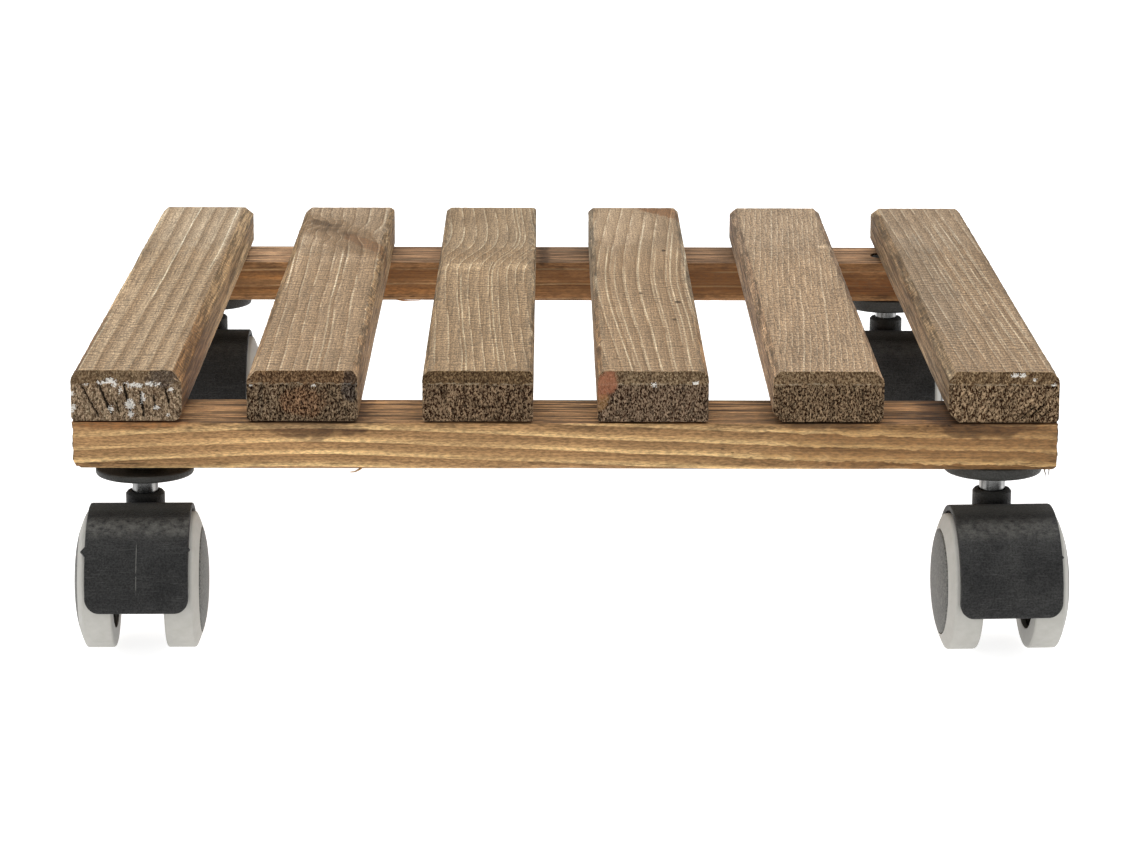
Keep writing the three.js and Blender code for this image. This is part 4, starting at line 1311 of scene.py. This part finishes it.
def rubber_material():
    """Soft light-grey tread: matt, faintly mottled, with dirt where it rolls."""
    g = Graph("soft_grey_rubber")
    mottle = g.noise((0.35, 0.35, 0.35), 4.0, 0.6, 31.0)
    fine = g.noise((3.5, 3.5, 3.5), 2.0, 0.6, 35.0)
    color = g.ramp(mottle, ((0.3, srgb(165, 163, 156)), (0.75, srgb(175, 173, 167))))
    color = g.shade(color, g.linear(fine, 0.08, 0.96))
    scuffs = g.remap(g.noise((0.5, 0.12, 0.12), 3.0, 0.65, 39.0), 0.62, 0.74)
    color = g.mix(g.times(scuffs, 0.14), color, srgb(140, 136, 128))
    roughness = g.linear(fine, 0.2, 0.46)
    return g.finish(color, roughness, g.bump(g.sum(fine, mottle), 0.04, 0.4))


# ---------------------------------------------------------------- small round parts

def screw_profile(length, clearance=0.0, below=0.0):
    head = SCREW_HEAD_RADIUS + clearance
    shank = SCREW_SHANK_RADIUS + clearance
    return [
        (0, -below), (head, -below), (head, SCREW_RIM), (shank, SCREW_HEAD_HEIGHT),
        (shank, length - SCREW_TIP + clearance), (0, length + clearance),
    ]


def make_screws(material):
    _, size = node_box("front_screw_1")
    body = turned_mesh("screw", screw_profile(size[2]), SCREW_SIDES)
    wide = block_skin(*[np.array([-a, a]) for a in (RECESS_LENGTH / 2, RECESS_WIDTH / 2, RECESS_DEPTH)])
    deep = block_skin(*[np.array([-a, a]) for a in (RECESS_WIDTH / 2, RECESS_LENGTH / 2, RECESS_DEPTH)])
    mesh = combined(body, [mesh_of("wide", *wide), mesh_of("deep", *deep)], "DIFFERENCE")
    for end in ("front", "rear"):
        for number in SLAT_NUMBERS:
            node = f"{end}_screw_{number}"
            centre, extent = node_box(node)
            place = placed((centre[0], centre[1], centre[2] - extent[2] / 2))
            angle = SCREW_TURN * number + (REAR_ROW_TURN if end == "rear" else 0)
            turn = Matrix.Rotation(angle, 4, "Z")
            add_piece(f"{node}_body", mesh.copy(), place @ turn, "deck", material, [node])


def make_sleeve(caster, place, material):
    low, high = (corner.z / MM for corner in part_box(f"{caster}_sleeve"))
    low -= SLEEVE_SAG[caster]
    stem_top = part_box(f"{caster}_stem")[1].z / MM
    flange_top = low + FLANGE_THICKNESSES[caster]
    profile = rounded([
        (STEM_BORE_RADIUS, low, 0.3),
        (STEM_BORE_RADIUS + FLANGE_BOSS_WIDTH - FLANGE_BOSS_SLOPE, low, 0.5),
        (STEM_BORE_RADIUS + FLANGE_BOSS_WIDTH, low + FLANGE_RELIEF, 0.4),
        (FLANGE_RADIUS - FLANGE_RIM_WIDTH, low + FLANGE_RELIEF, 0.4),
        (FLANGE_RADIUS - FLANGE_RIM_WIDTH + FLANGE_RIM_SLOPE, low, 0.5),
        (FLANGE_RADIUS, low, 1.3),
        (FLANGE_RADIUS, flange_top, 0.7),
        (BARREL_RADIUS, flange_top, 0.2),
        (BARREL_RADIUS, high, 0.6),
        (0, high, 0),
        (0, stem_top + GAP, 0),
        (STEM_BORE_RADIUS, stem_top + GAP, 0.2),
        (STEM_BORE_RADIUS, stem_top - POCKET_REACH[0], 0),
        (POCKET_RADIUS, stem_top - POCKET_REACH[0], 0),
        (POCKET_RADIUS, stem_top - POCKET_REACH[1], 0),
        (STEM_BORE_RADIUS, stem_top - POCKET_REACH[1], 0),
    ])
    mesh = turned_mesh(f"{caster}_sleeve_moulding", profile, ROUND_SIDES, closed=True)
    add_piece(
        f"{caster}_sleeve_moulding", mesh, place, "deck", material,
        [f"{caster}_sleeve"],
    )


def make_stem(caster, place, material):
    low, high = (corner.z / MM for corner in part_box(f"{caster}_stem"))
    profile = rounded([
        (0, low, 0), (STEM_RADIUS, low, STEM_EASE),
        (STEM_RADIUS, high - GROOVE_REACH[1], 0.1), (GROOVE_RADIUS, high - GROOVE_REACH[1], 0.1),
        (GROOVE_RADIUS, high - GROOVE_REACH[0], 0.1), (STEM_RADIUS, high - GROOVE_REACH[0], 0.1),
        (STEM_RADIUS, high, STEM_EASE), (0, high, 0),
    ])
    mesh = turned_mesh(f"{caster}_stem_pin", profile, ROUND_SIDES)
    add_piece(f"{caster}_stem_pin", mesh, place, "deck", material, [f"{caster}_stem"])


def make_axle(caster, place, material):
    end = AXLE_HALF_LENGTH
    profile = rounded([
        (0, -end, 0), (AXLE_RADIUS, -end, AXLE_EASE), (AXLE_RADIUS, end, AXLE_EASE), (0, end, 0),
    ])
    mesh = turned_mesh(f"{caster}_axle_pin", profile, AXLE_SIDES, along_x=True)
    add_piece(
        f"{caster}_axle_pin", mesh, place, f"{caster}_caster", material,
        [f"{caster}_axle"],
    )


# ---------------------------------------------------------------- caster housing

def hood_stations(front):
    """Angles along the hood, closer together at its front and rear edges and round its nubs."""
    edge = np.array([0.0, 0.25, 0.6, 1.1, 1.7, 2.4, 3.3, 4.4, 5.6, 7.0, 8.5, 10.2, 12.0])
    middle = np.linspace(front + HOOD_EDGE_SPAN, HOOD_REAR_ANGLE - HOOD_EDGE_SPAN, HOOD_STATIONS)
    nubs = np.arange(NUB_ANGLE - NUB_SPREAD, NUB_ANGLE + NUB_SPREAD + 0.1, NUB_STEP)
    middle = middle[np.abs(middle - NUB_ANGLE) > NUB_SPREAD + 0.3]
    ends = [front + edge, HOOD_REAR_ANGLE - edge]
    return np.sort(np.concatenate([*ends, middle, nubs]))


def corner_loss(distance, radius):
    """How far a rounded corner draws an edge in at a distance from the corner's end."""
    if distance >= radius:
        return 0.0
    return radius - math.sqrt(max(radius ** 2 - (radius - distance) ** 2, 0.0))


def nub_width(caster, side, angle):
    """How far a small nub stands out from the hood's side edge at an angle."""
    height, at, reach = NUBS.get((caster, side), (0.0, NUB_ANGLE, 1.0))
    return height * max(0.0, 1 - abs(angle - at) / reach)


def hood_mesh(caster):
    """The hood, swept about the axle: rounded lower corners, eased edges, a parting line, and a nub
    on each side edge that the nub table lists."""
    middle_radius = HOOD_RADIUS - HOOD_WALL / 2
    front = HOOD_FRONT_ANGLES[caster]
    bottom = middle_radius * math.sin(math.radians(front))
    shares = np.concatenate([
        [-1, -0.988, -0.97], np.linspace(-0.93, -0.08, 12), [-0.03, -0.01, 0.0, 0.01, 0.03],
        np.linspace(0.08, 0.93, 12), [0.97, 0.988, 1],
    ])
    ridge_height = SEAM_HEIGHTS[caster]
    points, rows = [], []
    for angle in hood_stations(front):
        a = math.radians(angle)
        from_front = middle_radius * math.sin(a) - bottom if angle < 60 else 99.0
        from_rear = middle_radius * math.radians(HOOD_REAR_ANGLE - angle)
        half = HOOD_HALF_WIDTH - corner_loss(max(from_front, 0), HOOD_CORNER_RADIUS)
        half -= corner_loss(from_rear, HOOD_REAR_CORNER_RADIUS)
        run_front = middle_radius * math.radians(angle - front)
        ease = corner_loss(min(run_front, from_rear), HOOD_EASE_REACH) * HOOD_EASE_SHARE
        wall = HOOD_WALL / 2 - ease
        from_crown = abs(angle - 90) / 90
        row = []
        for face, direction in ((1, 1), (-1, -1)):
            for share in shares[::direction]:
                width = half
                if abs(share) > 0.96:
                    width += nub_width(caster, "left" if share < 0 else "right", angle)
                edge_round = corner_loss(half * (1 - abs(share)), HOOD_EDGE_RADIUS)
                ridge = ridge_height * from_crown if face > 0 and abs(share) < 0.005 else 0.0
                radius = middle_radius + face * (wall - edge_round) + ridge
                row.append(len(points))
                points.append((share * width, -radius * math.cos(a), radius * math.sin(a)))
        rows.append(row)
    faces = []
    count = len(rows[0])
    for low, high in zip(rows, rows[1:]):
        for n in range(count):
            after = (n + 1) % count
            faces.append((low[n], low[after], high[after], high[n]))
    for row in (rows[0], rows[-1]):
        for n in range(count // 2 - 1):
            faces.append((row[n], row[n + 1], row[count - 2 - n], row[count - 1 - n]))
    return mesh_of("hood", points, faces)


def web_mesh():
    radius = HOOD_RADIUS - HOOD_WALL / 2
    outline = []
    for angle in np.linspace(WEB_FRONT_ANGLE, HOOD_REAR_ANGLE - WEB_REAR_INSET, WEB_STATIONS):
        a = math.radians(angle)
        outline.append((-radius * math.cos(a), radius * math.sin(a)))
    outline += rounded([
        (TRAIL, -WEB_BELOW_AXLE, 2.0), (WEB_TOE_CHAMFER - WEB_TOE, -WEB_BELOW_AXLE, 2.0),
        (-WEB_TOE, WEB_TOE_CHAMFER - WEB_BELOW_AXLE, 1.5), (outline[0][0], outline[0][1], 0),
    ])[:-1]
    return prism_mesh("web", outline, WEB_HALF_WIDTH)


def mark_seam_highlight(mesh, caster):
    """Marks the stretch of the hood's parting line that gets a painted highlight, in a mesh attribute.
    """
    low, high, strength = SEAM_HIGHLIGHTS.get(caster, (0.0, 1.0, 0.0))
    values = []
    for vertex in mesh.vertices:
        across, height = vertex.co.x / MM, vertex.co.z / MM
        inside = min(1.0, max(0.0, (height - low) / 2.0)) * min(1.0, max(0.0, (high - height) / 2.0))
        values.append(strength * inside * max(0.0, 1.0 - abs(across) / 0.1))
    mesh.attributes.new("seam_highlight", "FLOAT", "POINT").data.foreach_set("value", values)


def make_housing(caster, place, material):
    top = NECK_TOP - NECK_DROP[caster]
    neck = turned_mesh("neck", rounded([
        (0, NECK_BOTTOM, 0), (NECK_RADIUS, NECK_BOTTOM, 0.8),
        (NECK_RADIUS, top - NECK_BEVEL_HEIGHT, 0.12), (NECK_RADIUS - NECK_BEVEL_WIDTH, top, 0.12),
        (0, top, 0),
    ]), BORE_SIDES)
    bore = rod_outline(STEM_BORE_RADIUS, SOCKET_BOTTOM, SOCKET_CUT_TOP)
    socket = turned_mesh("socket", bore, BORE_SIDES)
    bore = rod_outline(AXLE_RADIUS + GAP, -AXLE_CUT_REACH, AXLE_CUT_REACH)
    axle_hole = turned_mesh("axle_hole", bore, AXLE_SIDES, along_x=True)
    axle_hole = shifted(axle_hole, 0, -TRAIL, WHEEL_RADIUS)
    hood = shifted(hood_mesh(caster), 0, -TRAIL, WHEEL_RADIUS)
    web = shifted(web_mesh(), 0, -TRAIL, WHEEL_RADIUS)
    mesh = combined(hood, [web, neck], "UNION")
    mesh = combined(mesh, [socket, axle_hole], "DIFFERENCE")
    mark_seam_highlight(mesh, caster)
    add_piece(
        f"{caster}_housing_moulding", mesh, place, f"{caster}_caster", material,
        [f"{caster}_housing"],
    )


# ---------------------------------------------------------------- wheels

def dome_height(radius):
    drop = DOME_APEX - TREAD_SHOULDER
    return DOME_APEX - drop * (radius / WHEEL_RADIUS) ** DOME_POWER


def core_mesh(name):
    floor = DOME_APEX - CORE_WALL
    rim = TREAD_INNER_FACE + TREAD_LIP_THICKNESS + GAP
    edge = DOME_EDGE_RADIUS
    bore = AXLE_RADIUS + GAP
    bore_end = AXLE_HALF_LENGTH + GAP
    recess = CORE_RECESS_RADIUS
    profile = [
        (0, bore_end), (bore, bore_end), (bore, HUB_INNER_FACE), (HUB_RADIUS - 0.4, HUB_INNER_FACE),
        (HUB_RADIUS, HUB_INNER_FACE + 0.4), (HUB_RADIUS, floor),
        (recess - RECESS_FILLET, floor - 0.5), (recess - 0.8, floor - 1.4),
        (recess, floor - RECESS_FILLET), (recess, rim), (edge, rim),
        (edge, dome_height(edge) - 0.45), (edge - 0.12, dome_height(edge) - 0.15),
        (edge - 0.4, dome_height(edge - 0.4)),
    ]
    for radius in np.linspace(edge - 1.0, 0, DOME_STATIONS):
        profile.append((radius, dome_height(radius)))
    return turned_mesh(name, profile, ROUND_SIDES, along_x=True)


def tread_mesh(name):
    inner = TREAD_INNER_FACE
    lip = inner + TREAD_LIP_THICKNESS
    shoulder = [
        (radius, dome_height(radius) - 0.06, 0.0)
        for radius in np.linspace(WHEEL_RADIUS - 0.9, TREAD_BORE_RADIUS + 0.5, 8)
    ]
    profile = rounded([
        (TREAD_LIP_RADIUS, inner, 0.3),
        (WHEEL_RADIUS, inner, 0.9),
        (WHEEL_RADIUS, TREAD_SHOULDER - 0.1, 1.5),
        *shoulder,
        (TREAD_BORE_RADIUS, dome_height(TREAD_BORE_RADIUS), 0.25),
        (TREAD_BORE_RADIUS, lip, 0.1),
        (TREAD_LIP_RADIUS, lip, 0.3),
    ])
    return turned_mesh(name, profile, TREAD_SIDES, closed=True, along_x=True)


def make_wheel(caster, side, place, core_material, tread_material):
    name = f"{caster}_{side}"
    if side == "left":
        place = place @ Matrix.Rotation(math.pi, 4, "Z")
    body = f"{name}_wheel"
    add_piece(
        f"{name}_core_moulding", core_mesh(f"{name}_core_moulding"), place, body,
        core_material, [f"{name}_core"],
    )
    add_piece(
        f"{name}_tread_moulding", tread_mesh(f"{name}_tread_moulding"), place, body,
        tread_material, [f"{name}_tread"],
    )


def caster_place(caster):
    """The frame of a caster: its origin under the stem, its X along the axle."""
    joints = {joint["name"]: joint for joint in frame["joints"]}
    at = joints[f"{caster}_swivel"]["pos_m"]
    axle = joints[f"{caster}_left_spin"]["axis"]
    turn = math.atan2(axle[1], axle[0])
    return Matrix.Translation((at[0], at[1], 0)) @ Matrix.Rotation(turn, 4, "Z")


# ---------------------------------------------------------------- camera, floor and light

# The photo's view. The angles are radians, and the offset is metres from the deck's centre and the
# rails' underside.
CAMERA_PITCH = 0.225706946
CAMERA_YAW = -0.00603489684
CAMERA_ROLL = -0.00325622341
CAMERA_OFFSET = (-0.005617, -1.311174, 0.27982)
CAMERA_LENS = 123.965
SENSOR_WIDTH = 36.0
FLOOR_REACH = 6.0
# Each soft light's place and size in metres, and its power in watts.
SOFTBOXES = {
    "top_softbox": ((0.0, 0.1, 1.3), (2.2, 2.2), 28.0),
    "front_softbox": ((-0.7, -1.7, 1.1), (1.2, 0.9), 6.0),
}
LIGHT_TARGET = (0.0, 0.0, 0.05)
SKY_STRENGTH = 0.35


def make_camera():
    """The camera at the photo's view."""
    rail_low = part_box("front_rail")[0]
    rear_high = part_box("rear_rail")[1]
    middle = (rail_low + rear_high) / 2
    pitch, yaw, roll = CAMERA_PITCH, CAMERA_YAW, CAMERA_ROLL
    level_right = Vector((math.cos(yaw), math.sin(yaw), 0))
    level_forward = Vector((-math.sin(yaw), math.cos(yaw), 0))
    up_axis = Vector((0, 0, 1))
    forward = math.cos(pitch) * level_forward - math.sin(pitch) * up_axis
    level_up = math.sin(pitch) * level_forward + math.cos(pitch) * up_axis
    right = math.cos(roll) * level_right - math.sin(roll) * level_up
    up = math.sin(roll) * level_right + math.cos(roll) * level_up
    place = Matrix((right, up, -forward)).transposed().to_4x4()
    start = (middle.x, middle.y, rail_low.z)
    place.translation = [base + off for base, off in zip(start, CAMERA_OFFSET)]
    data = bpy.data.cameras.new("camera")
    data.sensor_width = SENSOR_WIDTH
    data.lens = CAMERA_LENS
    data.clip_end = 50.0
    camera = bpy.data.objects.new("camera", data)
    camera.matrix_world = place
    bpy.context.scene.collection.objects.link(camera)
    bpy.context.scene.camera = camera


def make_floor():
    g = Graph("pale_floor")
    drift = g.noise((0.002, 0.002, 0.002), 2.0, 0.5)
    color = g.ramp(drift, ((0.3, (0.60, 0.60, 0.60, 1)), (0.7, (0.62, 0.62, 0.62, 1))))
    fixed = {"Specular IOR Level": 0.0, "Emission Color": (1, 1, 1, 1), "Emission Strength": 0.85}
    g.finish(color, 0.9, **fixed)
    reach = FLOOR_REACH
    mesh = bpy.data.meshes.new("floor")
    corners = [(-reach, -reach, 0), (reach, -reach, 0), (reach, reach, 0), (-reach, reach, 0)]
    mesh.from_pydata(corners, [], [(0, 1, 2, 3)])
    mesh.materials.append(g.material)
    floor = bpy.data.objects.new("floor", mesh)
    bpy.context.scene.collection.objects.link(floor)


def add_softbox(name, place, target, size, power):
    data = bpy.data.lights.new(name, "AREA")
    data.shape = "RECTANGLE"
    data.size, data.size_y = size
    data.energy = power
    light = bpy.data.objects.new(name, data)
    light.location = place
    light.rotation_euler = (Vector(target) - Vector(place)).to_track_quat("-Z", "Y").to_euler()
    bpy.context.scene.collection.objects.link(light)


def make_light():
    world = bpy.data.worlds.new("studio")
    world.use_nodes = True
    background = world.node_tree.nodes["Background"]
    background.inputs["Color"].default_value = (1.0, 1.0, 1.0, 1.0)
    background.inputs["Strength"].default_value = SKY_STRENGTH
    bpy.context.scene.world = world
    for name, (place, size, power) in SOFTBOXES.items():
        add_softbox(name, place, LIGHT_TARGET, size, power)
    scene = bpy.context.scene
    scene.view_settings.view_transform = "Standard"
    scene.view_settings.look = "None"


# ---------------------------------------------------------------- the whole caddy

def make_caddy():
    steel = steel_material()
    zinc = screw_material()
    grey = grey_plastic_material()
    rubber = rubber_material()
    for number in SLAT_NUMBERS:
        make_slat(f"slat_{number}", number)
    make_rail("front_rail", 1)
    make_rail("rear_rail", 2)
    make_screws(zinc)
    for number, caster in enumerate(CASTERS):
        black = black_plastic_material(caster, PLASTIC_SEED + PLASTIC_SEED_STEP * number)
        place = caster_place(caster)
        at_axle = place @ Matrix.Translation((0, -TRAIL * MM, WHEEL_RADIUS * MM))
        make_sleeve(caster, place, black)
        make_stem(caster, place, steel)
        make_axle(caster, at_axle, steel)
        make_housing(caster, place, black)
        for side in SIDES:
            make_wheel(caster, side, at_axle, grey, rubber)
        # The grip rings inside the sleeves keep their CAD meshes.
        ring = frame["nodes"][f"{caster}_grip_ring"]
        ring.data.materials.clear()
        ring.data.materials.append(steel)


make_camera()
make_floor()
make_light()
make_caddy()

bpy.context.view_layer.update()
